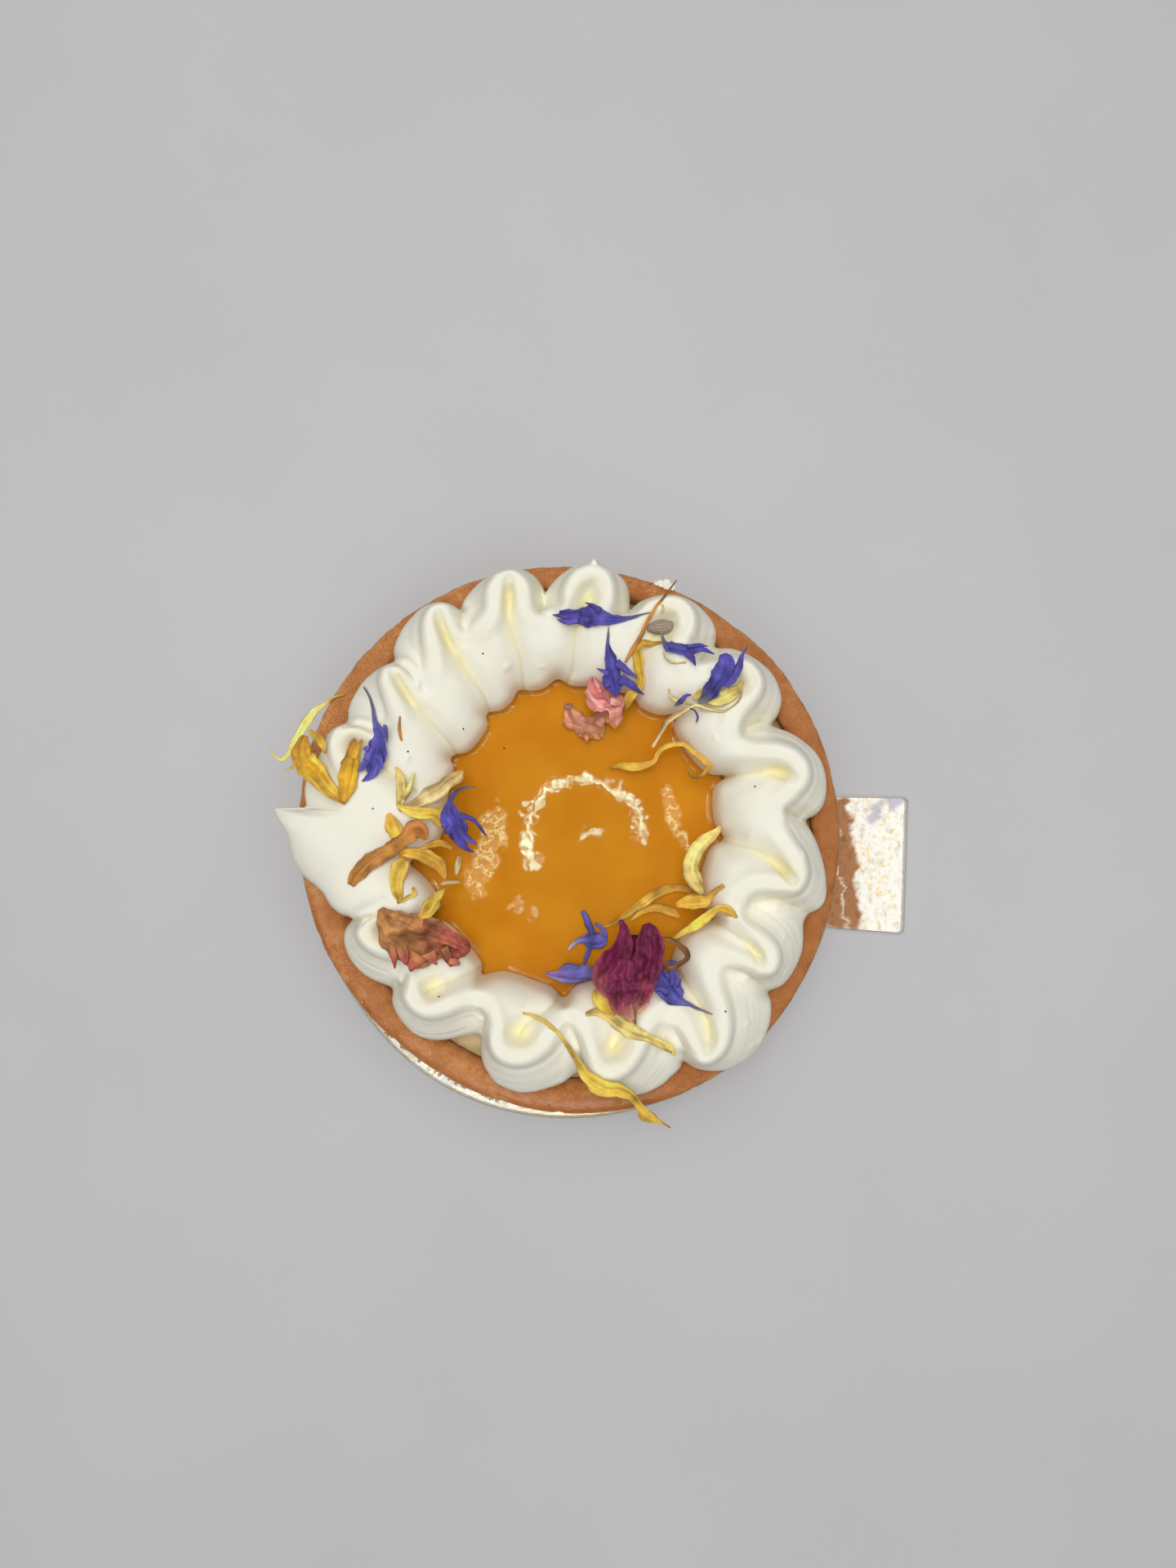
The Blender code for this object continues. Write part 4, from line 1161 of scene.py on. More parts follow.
@dataclass
class CitrusFilling:
    """The baked filling, level inside the shell and drawn up a little at the wall."""

    shell: TartShell
    clear: float = 3.05
    rise: float = 0.7
    sides: int = 240
    noise: Noise = field(default_factory=lambda: Noise(31))

    def build(self) -> bpy.types.Object:
        """A disc whose edge rises towards the wall as a falling exponential of the distance.

        Returns:
            The finished piece.
        """
        angle = np.arange(self.sides) * TURN / self.sides
        outer = self.shell.outer(angle) - self.clear
        share = np.concatenate([np.linspace(0.1, 0.9, 12), np.linspace(0.91, 1.0, 18)])[:, None]
        radii = share * outer
        points = round_points(angle, radii, 0.0 * radii)
        away = outer - radii
        heights = LEVELS.filling_top + self.rise * np.exp(-away / 0.7)
        heights = heights + 0.12 * self.noise.layered(points, 5.0, 2)
        heights = np.where(share < 0.72, np.minimum(heights, LEVELS.filling_top), heights)
        low = np.full(self.sides, LEVELS.filling_base)
        radii = np.vstack([radii, outer, outer])
        heights = np.vstack([heights, heights[-1] - 1.0, low])
        filling = turned("citrus_filling", radii, heights)
        return hand_over(filling, FillingFinish("baked_filling"), "filling", "filling")


# ---------------------------------------------------------------- the piped ruffle
# The levels at which the picks of the ruffle were read.
CREST_LEVEL = 30.5
CREASE_LEVEL = 28.0
OUTLINE_LEVEL = 24.0
GEL_EDGE_LEVEL = 20.3


@dataclass(frozen=True)
class Loop:
    """One loop of the ruffle, in picks: the height where its crest starts at an inner turn,
    the crest, and the outline from the notch before the loop to the notch after it."""

    height: float
    crest: tuple[Point, ...]
    edge: tuple[Point, ...]

    @property
    def points(self) -> Array:
        """The crest in plan."""
        return PICTURE.plan(self.crest, CREST_LEVEL)

    @property
    def notch(self) -> Array:
        """The notch after the loop, in plan."""
        return PICTURE.plan(self.edge[-1:], OUTLINE_LEVEL)[0]


LOOPS = (
    Loop(30.2, (
        (422, 948), (412, 925), (410, 910), (415, 897), (427, 890), (441, 891), (453, 897), (463, 902)), (
        (338, 991), (347, 987), (366, 990), (375, 988), (373, 980), (372, 965), (376, 948), (388, 930),
        (397, 912), (401, 900), (413, 889), (424, 885))),
    Loop(28.8, (
        (475, 896), (484, 880), (483, 862), (477, 845), (473, 830), (476, 820), (485, 814), (495, 817),
        (503, 827), (508, 838), (513, 845)), (
        (426, 867), (432, 852), (442, 836), (455, 824), (470, 815), (482, 811))),
    Loop(29, (
        (518, 841), (526, 826), (529, 812), (529, 797), (527, 780), (526, 763), (529, 751), (536, 745),
        (546, 745), (555, 752), (561, 763), (564, 775)), (
        (481, 797), (486, 780), (495, 765), (507, 752), (520, 742), (535, 738), (547, 739), (560, 744),
        (568, 751))),
    Loop(29, (
        (568, 784), (580, 772), (592, 761), (602, 748), (603, 733), (604, 720), (612, 709), (625, 704),
        (636, 709), (643, 720), (646, 735), (652, 747)), (
        (564, 744), (570, 731), (582, 717), (597, 706), (612, 697), (627, 695), (642, 698), (655, 705),
        (664, 717), (666, 729), (665, 744))),
    Loop(29.2, (
        (672, 751), (688, 750), (696, 740), (697, 725), (702, 711), (712, 702), (725, 698), (737, 702),
        (744, 715), (745, 730), (745, 747)), (
        (666, 733), (669, 723), (678, 711), (690, 701), (705, 692), (717, 688), (727, 683), (737, 690),
        (750, 698), (762, 707), (769, 718), (771, 732), (770, 750))),
    Loop(29.4, (
        (757, 761), (772, 759), (785, 752), (796, 742), (810, 737), (825, 736), (837, 742), (844, 755),
        (842, 770), (836, 782), (837, 796), (845, 811)), (
        (778, 740), (792, 733), (810, 729), (830, 730), (847, 736), (862, 747), (874, 762), (878, 778),
        (876, 791))),
    Loop(29.8, (
        (862, 819), (877, 816), (892, 812), (906, 812), (918, 818), (925, 830), (925, 842), (917, 855),
        (907, 866), (901, 878), (899, 895)), (
        (895, 793), (912, 799), (932, 811), (947, 826), (956, 844), (958, 861), (953, 876), (946, 887))),
    Loop(30, (
        (906, 909), (926, 916), (950, 917), (970, 924), (982, 938), (982, 954), (970, 969), (958, 984)), (
        (969, 897), (987, 909), (1002, 924), (1011, 944), (1013, 967), (1010, 984), (1001, 997),
        (988, 1004))),
    Loop(30, (
        (953, 998), (956, 1016), (966, 1034), (977, 1051), (980, 1070), (973, 1083), (958, 1086),
        (940, 1082), (922, 1085), (909, 1096)), (
        (995, 1018), (1003, 1036), (1010, 1060), (1013, 1084), (1012, 1101), (1005, 1113), (992, 1120))),
    Loop(30, (
        (903, 1112), (905, 1128), (915, 1139), (931, 1150), (943, 1163), (946, 1177), (940, 1186),
        (925, 1188), (908, 1182), (890, 1177)), (
        (985, 1132), (985, 1148), (982, 1169), (973, 1189), (959, 1207), (941, 1216))),
    Loop(30, (
        (878, 1181), (875, 1194), (877, 1212), (883, 1233), (886, 1256), (882, 1278), (873, 1291),
        (861, 1296), (848, 1286), (838, 1270), (830, 1255)), (
        (945, 1225), (945, 1247), (939, 1267), (928, 1286), (909, 1302), (889, 1311), (869, 1312),
        (850, 1308), (837, 1300))),
    Loop(30, (
        (818, 1247), (804, 1248), (793, 1258), (785, 1274), (775, 1293), (762, 1308), (746, 1314),
        (731, 1308), (719, 1289), (713, 1270), (707, 1254)), (
        (835, 1307), (824, 1318), (809, 1331), (789, 1340), (769, 1343), (746, 1342), (727, 1336),
        (714, 1325), (709, 1314))),
    Loop(29.8, (
        (696, 1247), (684, 1253), (675, 1267), (664, 1282), (646, 1293), (627, 1295), (611, 1287),
        (604, 1270), (603, 1251), (596, 1236)), (
        (689, 1327), (670, 1334), (654, 1338), (638, 1339), (619, 1334), (604, 1325), (592, 1306),
        (588, 1289), (587, 1270))),
    Loop(29.8, (
        (582, 1227), (562, 1228), (542, 1235), (523, 1237), (508, 1228), (499, 1212), (501, 1194)), (
        (573, 1269), (554, 1273), (535, 1275), (515, 1271), (500, 1261), (486, 1244), (479, 1226),
        (478, 1211))),
    Loop(29.4, (
        (507, 1180), (496, 1170), (478, 1165), (460, 1158), (447, 1147), (444, 1135), (452, 1125),
        (466, 1119)), (
        (452, 1199), (438, 1188), (426, 1172), (420, 1152), (423, 1136), (432, 1124))),
)

# The outline from the last notch back to the pulled tip.
LAST_EDGE_PICKS = (
    (419, 1121), (405, 1110), (396, 1095), (383, 1083), (372, 1074), (359, 1055), (355, 1040),
    (351, 1021), (343, 1007))
LAST_EDGE = PICTURE.plan(LAST_EDGE_PICKS, OUTLINE_LEVEL)
OUTLINE = PICTURE.plan(sum((loop.edge for loop in LOOPS), ()) + LAST_EDGE_PICKS, OUTLINE_LEVEL)


def at_heights(rows: Sequence[Sequence[float]]) -> Array:
    """Rows of x, y, height and any further values, from rows of a pick and the same."""
    rows = np.array(rows)
    return np.column_stack([PICTURE.plan(rows, rows[:, 2]), rows[:, 2:]])



# The crest before the first loop, from the pulled tip: picks and heights.
CREST_TIP = at_heights((
    (338, 990, 26.6), (352, 996, 28.2), (372, 1003, 29.2), (395, 1006, 29.7), (414, 1001, 30.0),
    (427, 987, 30.1), (429, 970, 30.2)))
CREST_END_PICK, CREST_END_HEIGHT = (485, 1116), 29.4
CREST_END = (*PICTURE.plan((CREST_END_PICK,), CREST_LEVEL)[0], CREST_END_HEIGHT)

# The small torn peak at the top loop: places in the picture, heights and half widths.
TORN_PEAK = at_heights((
    (698, 698, 30.4, 0.7), (706, 696, 31.2, 0.9), (713, 698, 30.7, 1.3), (721, 694, 31.2, 1.5),
    (728, 681, 31.6, 0.8), (731, 691, 31.1, 1.3), (740, 696, 30.6, 1.0), (747, 696, 31.2, 0.7),
    (751, 702, 30.2, 0.6)))

# Where the cream meets the gel, clockwise.
GEL_EDGE_PICKS = (
    (545, 1015), (546, 998), (550, 975), (556, 950), (558, 938), (553, 929), (575, 921), (590, 905),
    (599, 889), (597, 876), (615, 871), (628, 860), (635, 848), (650, 848), (667, 844), (683, 833),
    (697, 841), (713, 842), (730, 842), (748, 848), (772, 852), (782, 866), (800, 875), (813, 877),
    (827, 876), (824, 892), (831, 908), (843, 925), (856, 940), (870, 949), (889, 951), (874, 962),
    (871, 979), (872, 998), (876, 1014), (885, 1026), (869, 1037), (862, 1054), (857, 1072),
    (857, 1090), (862, 1106), (876, 1122), (860, 1128), (846, 1134), (834, 1146), (826, 1160),
    (822, 1175), (828, 1192), (808, 1192), (795, 1196), (783, 1203), (766, 1222), (752, 1206),
    (737, 1200), (720, 1200), (705, 1205), (691, 1221), (676, 1207), (655, 1199), (636, 1192),
    (614, 1188), (590, 1193), (592, 1181), (585, 1169), (576, 1158), (563, 1142), (550, 1130),
    (529, 1121), (541, 1111), (537, 1096), (529, 1082), (517, 1069), (503, 1056), (522, 1042),
    (538, 1030))
GEL_EDGE = PICTURE.plan(GEL_EDGE_PICKS, GEL_EDGE_LEVEL)

# Creases from each hollow to the gel: depth and half width of the hollow, and picks.
CREASE_PICKS = (
    (1.1, 2.3, ((427, 903), (440, 915), (458, 930), (480, 948), (508, 968))),
    (1.6, 0.85, ((485, 827), (495, 845), (505, 860), (520, 875), (535, 892), (550, 910), (556, 932))),
    (1.7, 0.85, ((540, 755), (542, 770), (550, 787), (562, 807), (575, 827), (590, 850), (600, 879))),
    (1.5, 0.9, ((625, 712), (624, 735), (622, 752), (626, 772), (631, 790), (637, 810), (639, 850))),
    (1.3, 2.2, ((727, 722), (720, 735), (712, 750), (704, 775), (702, 800), (699, 820), (686, 837))),
    (1.1, 2.8, ((830, 762), (818, 768), (800, 780), (787, 800), (782, 830), (775, 858))),
    (1.2, 2.3, ((915, 835), (897, 842), (875, 855), (850, 865), (825, 878))),
    (1.6, 1.0, ((966, 952), (952, 947), (941, 944), (928, 945), (905, 948), (880, 951))),
    (1.6, 0.95, ((969, 1080), (958, 1066), (943, 1051), (925, 1041), (905, 1035), (876, 1024))),
    (1.5, 0.9, ((928, 1178), (924, 1164), (911, 1151), (893, 1139), (875, 1130), (848, 1120))),
    (1.5, 0.9, ((864, 1282), (869, 1266), (865, 1245), (858, 1230), (846, 1213), (832, 1188))),
    (1.2, 2.3, ((746, 1290), (757, 1276), (765, 1262), (767, 1245), (765, 1215))),
    (1.0, 2.6, ((632, 1276), (645, 1255), (665, 1240), (680, 1228), (692, 1210))),
    (1.2, 1.9, ((518, 1216), (540, 1206), (560, 1198), (578, 1191), (592, 1187))),
    (1.1, 1.7, ((458, 1141), (475, 1136), (500, 1128), (534, 1118))),
)
CREASES = tuple((depth, half, PICTURE.plan(picks, CREASE_LEVEL)) for depth, half, picks in CREASE_PICKS)


@dataclass
class PipedCream:
    """The ruffle of cream: one long ribbon piped in loops round the gel."""

    shell: TartShell
    crest_top: float = 31.2
    crest_power: float = 0.8
    lip_depth: float = 1.7
    lip_width: float = 0.95
    rim_level: float = 23.4
    gel_level: float = 22.3
    edge_fall: float = 9.0
    band_in: float = 0.8
    band_out: float = 0.35
    crest_round: float = 0.4
    flank_straight: float = 0.72
    dome_power: float = 2.2
    crease_depth: float = 0.42
    pillow_depth: float = 1.7
    pillow_half: float = 3.1
    crease_shade_half: float = 0.55
    step_out: float = 0.85
    step_at: float = 1.1
    step_width: float = 0.7
    step_shade: float = 0.2
    valley_depth: float = 2.6
    valley_half: float = 2.3
    valley_pull: float = 0.5
    peak_fall: float = 9.5
    ease_from: float = 0.9
    ease_radius: float = 0.9
    reach: float = 16.0
    swell: float = 0.09
    streak: float = 0.10
    streak_long: float = 7.0
    streak_wide: float = 0.42
    streak_from: float = 0.8
    streak_to: float = 8.5
    ripple: float = 0.012
    bubbles: int = 190
    bubbles_from: float = 23.0
    bubbles_to: float = 41.0
    large_bubbles: int = 40
    large_rise: float = 0.22
    small_rise: float = 0.13
    columns: int = 860
    rows: int = 98
    noise: Noise = field(default_factory=lambda: Noise(47))
    plan: PlanMap = field(default_factory=PlanMap)
    enclosed: Optional[Array] = None
    # fold: a map of painted shade along the creases, the valleys and the crest's step.
    fold: Optional[Array] = None

    # ---- the crest
    def crest(self) -> Array:
        """The whole crest as one smooth line.

        Along each loop the height rises from one inner turn to the outer turn and falls to
        the next with a power of a half sine wave, and so does the depth inside its lip.

        Returns:
            One row of x, y, height and depth for each point.
        """
        rows = [np.column_stack([CREST_TIP, np.zeros(len(CREST_TIP))])]
        after = [(*loop.points[0], loop.height) for loop in LOOPS[1:]] + [CREST_END]
        for loop, (end_x, end_y, end_height) in zip(LOOPS, after):
            plan = np.vstack([loop.points, (end_x, end_y)])
            share = np.append(0.0, np.cumsum(np.hypot(*np.diff(plan, axis=0).T)))[:-1]
            share /= share[-1] + math.dist(plan[-1], plan[-2])
            base = loop.height + (end_height - loop.height) * share
            swing = np.sin(math.pi * share)
            height = base + (self.crest_top - base) * swing ** self.crest_power
            rows.append(np.column_stack([plan[:-1], height, self.lip_depth * swing ** 1.5]))
        return smooth_line(np.vstack(rows + [(*CREST_END, 0.0)]), 600)

    def near(self, line: Array, reach: float) -> tuple[Array, Array, Array]:
        """Nearest point of a line, for every point of the plan map.

        Args:
            line: points of x, y and any further values.
            reach: how far from the line it is worked out.

        Returns:
            Maps of the distance, of the length along the line, and of the further values.
        """
        apart = np.full(self.plan.x.shape, reach)
        run = np.zeros(apart.shape)
        values = np.zeros(apart.shape + (line.shape[1] - 2,))
        lengths = np.append(0.0, np.cumsum(np.hypot(*np.diff(line[:, :2], axis=0).T)))
        for start, end, before in zip(line[:-1], line[1:], lengths):
            low = np.minimum(start[:2], end[:2]) - reach
            window = self.plan.window(low, np.maximum(start[:2], end[:2]) + reach)
            step = end - start
            x, y = self.plan.x[window] - start[0], self.plan.y[window] - start[1]
            size = max(math.hypot(step[0], step[1]), 1e-9)
            share = held((x * step[0] + y * step[1]) / size ** 2)
            here = np.hypot(x - share * step[0], y - share * step[1])
            better = here < apart[window]
            apart[window] = np.where(better, here, apart[window])
            run[window] = np.where(better, before + share * size, run[window])
            values[window] = np.where(better[..., None], start[2:] + share[..., None] * step[2:],
                                      values[window])
        return apart, run, values

    def within(self, line: Array) -> Array:
        """Whether each point lies inside a closed line, by counting its crossings along X.

        Args:
            line: points of x and y, joined back to the first.

        Returns:
            A map of true and false.
        """
        crossings = np.zeros(self.plan.x.shape, int)
        rows = self.plan.y[:, 0]
        for (x0, y0), (x1, y1) in zip(line[:, :2], np.roll(line[:, :2], -1, axis=0)):
            row = np.nonzero((rows >= min(y0, y1)) & (rows < max(y0, y1)))[0]
            if len(row):
                at = x0 + (rows[row] - y0) * (x1 - x0) / (y1 - y0)
                column = np.ceil((at + self.plan.HALF) / self.plan.STEP).astype(int)
                np.add.at(crossings, (row, column), 1)
        return np.cumsum(crossings, axis=1) % 2 == 1

    def eased(self, values: Array, apart: Array) -> Array:
        """A map softened away from the line it was taken from, and untouched on it."""
        share = 1.0 - np.exp(-(apart / self.ease_from) ** 2)
        return values + share * (self.plan.softened(values, self.ease_radius) - values)

    def groove(self, line: Array, depth: Array, width: Array, cusp: bool = False) -> Array:
        """A groove along a line: depth times a power of one less the squared share of its width.

        Args:
            line: points of x and y.
            depth: depth at each point.
            width: half width at each point.
            cusp: whether it comes to a sharp bottom, as where two pillows of cream meet.

        Returns:
            A map of the depth.
        """
        apart, _, values = self.near(np.column_stack([line, depth, width]), float(np.max(width)))
        share = apart / np.maximum(values[..., 1], 0.1)
        side = 1.0 - np.hypot(share, 0.06) if cusp else 1.0 - share ** 2
        return values[..., 0] * held(side) ** (2.0 if cusp else 1.5)

    def creases(self) -> Array:
        """Depth of the hollows inside the crest and of the creases from them to the gel.

        Returns:
            A map of the depth.
        """
        total = np.zeros(self.plan.x.shape)
        for deep, half, points in CREASES:
            share = np.linspace(0.0, 1.0, 40)
            depth = np.interp(share, (0.0, 0.10, 0.26, 0.5, 1.0),
                              (0.4 * deep, deep, deep, self.crease_depth, self.crease_depth))
            width = np.interp(share, (0.0, 0.30, 0.52, 1.0), (half, half, 0.8, 0.7))
            line = smooth_line(points, 40)
            total = np.maximum(total, self.groove(line, depth, width))
            depth = self.pillow_depth * np.interp(share, (0.15, 0.45, 1.0), (0.0, 0.9, 1.0))
            width = self.pillow_half * np.interp(share, (0.2, 0.6), (0.6, 1.0))
            total = np.maximum(total, self.groove(line, depth, width, True))
            # Painted shade along the crease.
            self.paint_crease_shade(line, np.interp(share, (0.03, 0.14, 0.32, 1.0), (0.0, 0.8, 0.5, 0.9)))
        return total

    def paint_crease_shade(self, line: Array, strength: Array) -> None:
        """Paint shade where two pillows of cream touch, in a narrow band along a line."""
        mark = self.groove(line, strength, self.crease_shade_half + 0.0 * strength, True)
        self.fold = np.maximum(self.fold, mark)

    def valleys(self) -> Array:
        """Depth of the valleys between the flanks.

        Each runs from a notch in the outline to the inner turn behind it, drawn part of the
        way towards the crest of the loop before.

        Returns:
            A map of the depth.
        """
        total = np.zeros(self.plan.x.shape)
        turns = [loop.points[0] for loop in LOOPS[1:]] + [CREST_END[:2]]
        share = np.linspace(0.0, 1.0, 24)
        for loop, turn in zip(LOOPS, turns):
            straight = loop.notch + (np.array(turn) - loop.notch) * share[:, None]
            crest = loop.points[len(loop.crest) // 2:]
            nearest = np.hypot(*(straight[:, None] - crest[None]).T).T.argmin(axis=1)
            pull = self.valley_pull * np.sin(math.pi * share)[:, None]
            line = smooth_line((straight + pull * (crest[nearest] - straight))[::4], 24)
            depth = self.valley_depth * np.interp(share, (0.0, 0.25, 0.7, 1.0), (0.5, 1.0, 0.8, 0.0))
            width = self.valley_half * np.interp(share, (0.0, 1.0), (1.0, 0.6))
            total = np.maximum(total, self.groove(line, depth, width, True))
            # Painted shade along the valley.
            self.paint_crease_shade(line, np.interp(share, (0.0, 0.6, 0.95), (0.6, 0.9, 0.0)))
        return total

    def shape_map(self) -> tuple[Array, Array]:
        """Fill the plan map with the cream's top.

        Between the crest and the nearer edge the height falls with the share of the way:
        inside the crest as a quarter of a superellipse, below a lip; outside it partly
        straight and partly as a quarter of an ellipse.  Past both edges it drops steeply.

        Returns:
            Maps of the distance outside the crest, and of the length along it.
        """
        self.fold = np.zeros(self.plan.x.shape)
        line = self.crest()
        apart, run, values = self.near(line, self.reach)
        crest_z, hollow = (self.eased(values[..., k], apart) for k in range(2))
        outline, gel_edge = (smooth_line(np.vstack([points, points[:1]]), 3 * len(points))
                             for points in (OUTLINE, GEL_EDGE))
        to_rim, to_gel = (np.maximum(self.near(edge, self.reach)[0], 1e-3)
                          for edge in (outline, gel_edge))
        nearness = to_rim ** -2.0 + to_gel ** -2.0
        low = (self.rim_level * to_rim ** -2.0 + self.gel_level * to_gel ** -2.0) / nearness
        to_low = self.eased(nearness ** -0.5, nearness ** -0.5)
        end = [CREST_END[:2], LOOPS[-1].notch]
        inside = self.within(np.vstack([line[:, :2], end, LAST_EDGE]))

        def way(band: float) -> tuple[Array, Array]:
            """Distance past the crest's band, and its share of the way to the edge.

            Args:
                band: half width of the level band along the crest.

            Returns:
                Maps of the distance and of the share.
            """
            past = np.clip(apart - band, 0.0, None)
            past = np.sqrt(past ** 2 + self.crest_round ** 2) - self.crest_round
            return past, past / (past + to_low)

        past, share = way(self.band_in)
        top = crest_z - hollow * (1.0 - np.exp(-(past / self.lip_width) ** 2))
        within = low + (top - low) * np.sqrt(held(1.0 - share ** self.dome_power))
        within = within - self.creases()
        past, share = way(self.band_out)
        fall = (self.flank_straight * share
                + (1.0 - self.flank_straight) * (1.0 - np.sqrt(held(1.0 - share ** 2))))
        beyond = held((apart - self.step_at) / self.step_width)
        step = self.step_out * beyond ** 2 * (3.0 - 2.0 * beyond) * (1.0 - share) * hollow / self.lip_depth
        without = crest_z - (crest_z - low) * fall - self.valleys() - step
        # A painted shadow line along the step outside the crest, added to the painted crease shade.
        middle = self.step_at + 0.75 * self.step_width
        mark = self.step_shade * held(1.0 - np.abs(apart - middle) / 0.6) ** 2
        self.fold = np.maximum(self.fold, np.where(inside, 0.0, mark * hollow / self.lip_depth))
        part = self.plan.softened(inside.astype(float), 0.5)
        part = np.where(inside, np.maximum(part, np.exp(-apart)), np.minimum(part, 1 - np.exp(-apart)))
        solid = part * within + (1.0 - part) * without
        solid = np.where(self.within(outline), solid, self.rim_level - self.edge_fall * to_rim)
        solid = np.where(self.within(gel_edge), self.gel_level - self.edge_fall * to_gel, solid)
        beside, _, peak = self.near(TORN_PEAK, 3.0)
        peak_top = peak[..., 0] - self.peak_fall * (beside / np.maximum(peak[..., 1], 0.1)) ** 1.2
        solid = np.maximum(solid, np.where(beside < 3.0, peak_top, 0.0))
        self.plan.height = self.plan.softened(solid, 0.14)
        self.enclosed = part
        return np.where(inside, -apart, apart), run

    def detail(self, away: Array, run: Array) -> None:
        """Add slow swells, streaks along the crest on the outer flanks, and bubbles.

        Args:
            away: distance outside the crest, negative inside it.
            run: length along the crest.
        """
        flat = np.stack([self.plan.x, self.plan.y, 0.0 * self.plan.x], axis=-1)
        swell = self.swell * self.noise.layered(flat, 5.0, 2)
        along = np.stack([run / self.streak_long, away / self.streak_wide, 0.0 * run], axis=-1)
        out = held((away - self.streak_from) / 1.2) * held(self.streak_to - away)
        streak = self.streak * self.noise.at(along, 1.0) * out
        ripple = self.ripple * self.noise.at(flat + 5.0, 0.8)
        self.plan.height += swell + streak + ripple
        draw = np.random.default_rng(5)
        scattered = draw.uniform(-42.0, 42.0, (self.bubbles, 2))
        reach = np.hypot(*scattered.T)
        scattered = scattered[(reach > self.bubbles_from) & (reach < self.bubbles_to)]
        for number, (x, y) in enumerate(scattered):
            large = number < self.large_bubbles
            size = draw.uniform(0.24, 0.42) if large else draw.uniform(0.12, 0.24)
            window = self.plan.window((x - 1.5, y - 1.5), (x + 1.5, y + 1.5))
            angle = math.atan2(y, x) + draw.uniform(-0.4, 0.4)
            u, v = along_and_across(self.plan.x[window] - x, self.plan.y[window] - y, angle)
            spot = np.exp(-(u / size) ** 2 - (v / (1.7 * size)) ** 2)
            rise = self.large_rise if large else self.small_rise
            self.plan.height[window] += rise * size / 0.3 * spot

    # ---- the closed surface
    def outline(self, angle: Array) -> tuple[Array, Array]:
        """Inner and outer radius where the cream reaches its widest level.

        Args:
            angle: the directions, in radians.

        Returns:
            Two radii for each direction.
        """
        radius = np.arange(15.0, 46.9, 0.1)
        height = self.plan.sample(np.cos(angle)[:, None] * radius, np.sin(angle)[:, None] * radius)
        inside = height >= LEVELS.cream_edge
        first = inside.argmax(axis=1)
        last = len(radius) - 1 - inside[:, ::-1].argmax(axis=1)
        column = np.arange(len(angle))

        def crossing(at: Array, beside: Array) -> Array:
            """Radius between two samples where the height is the level.

            Args:
                at: the last sample that is high enough, in each direction.
                beside: its lower neighbour.

            Returns:
                One radius for each direction.
            """
            here, there = height[column, at], height[column, beside]
            share = (here - LEVELS.cream_edge) / np.maximum(here - there, 1e-6)
            return radius[at] + (radius[beside] - radius[at]) * held(share)

        return crossing(first, first - 1), crossing(last, last + 1)

    def even_rows(self, angle: Array, inner: Array, outer: Array) -> Array:
        """Radii of the rows over the top, spaced half by radius and half by surface length.

        Args:
            angle: the direction of each column.
            inner: inner radius of each column.
            outer: outer radius of each column.

        Returns:
            Radii for each (row, column).
        """
        fine = np.linspace(0.0, 1.0, 260)
        radius = inner[:, None] + (outer - inner)[:, None] * fine
        height = self.plan.sample(radius * np.cos(angle)[:, None], radius * np.sin(angle)[:, None])
        height[:, 0], height[:, -1] = LEVELS.cream_edge, LEVELS.cream_edge
        step = np.hypot(np.diff(radius, axis=1), np.diff(height, axis=1))
        length = np.concatenate([np.zeros((len(angle), 1)), np.cumsum(step, axis=1)], axis=1)
        mixed = 0.5 * length / length[:, -1:] + 0.5 * fine
        target = np.linspace(0.0, 1.0, self.rows)
        place = (mixed[:, None, :] < target[None, :, None]).sum(axis=2).clip(1, len(fine) - 1)
        low = np.take_along_axis(mixed, place - 1, axis=1)
        high = np.take_along_axis(mixed, place, axis=1)
        share = (place - 1 + held((target - low) / (high - low))) / (len(fine) - 1)
        return (inner[:, None] + (outer - inner)[:, None] * share).T

    def build(self) -> bpy.types.Object:
        """Mesh the top by columns round the ring, and close it underneath.

        The underside follows the gel, the filling and, where the cream overhangs it, the
        rim of the shell.

        Returns:
            The finished piece.
        """
        away, run = self.shape_map()
        self.detail(away, run)
        tip = math.atan2(CREST_TIP[0][1], CREST_TIP[0][0])
        angle = tip + np.arange(self.columns) * TURN / self.columns
        inner, outer = self.outline(angle)
        radius = self.even_rows(angle, inner, outer)
        height = self.plan.sample(radius * np.cos(angle), radius * np.sin(angle))
        edge = LEVELS.cream_edge
        height[0], height[-1] = edge, edge
        height = np.maximum(height, edge)
        wall = self.shell.outer(angle) - self.shell.wall - 0.6
        over = held(outer - wall)
        level = np.zeros(self.columns)
        rim, beside_rim, on_gel = LEVELS.rim_top + 0.42, 20.2, LEVELS.gel_middle + 0.12
        below = [
            (outer - 0.05, edge - 0.35 + level),
            (outer - 0.25, edge - 0.65 + level),
            (outer - 0.7, (edge - 1.1) + (rim + 0.15 - edge + 1.1) * over),
            (np.minimum(outer - 1.3, wall + 0.1), beside_rim + (rim - beside_rim) * over),
            (np.minimum(outer - 1.5, wall), LEVELS.gel_base + level),
            (25.2 + level, LEVELS.gel_base + level),
            (25.0 + level, on_gel + level),
            (np.minimum(inner + 1.4, 24.4), on_gel + level),
            (inner + 0.55, 20.0 + level),
            (inner + 0.15, 20.5 + level),
            (inner + 0.0, 21.3 + level),
        ]
        radii = np.vstack([radius] + [row for row, _ in below])
        heights = np.vstack([height] + [row for _, row in below])
        points = round_points(angle, radii, heights)
        cream = put_mesh("piped_ruffle", points.reshape(-1, 3),
                         grid_faces(len(points), self.columns, True, True))
        # Painted yellow shade in the hollows and creases, stored as hollow.
        put_values(cream, "hollow", self.hollows(points).ravel())
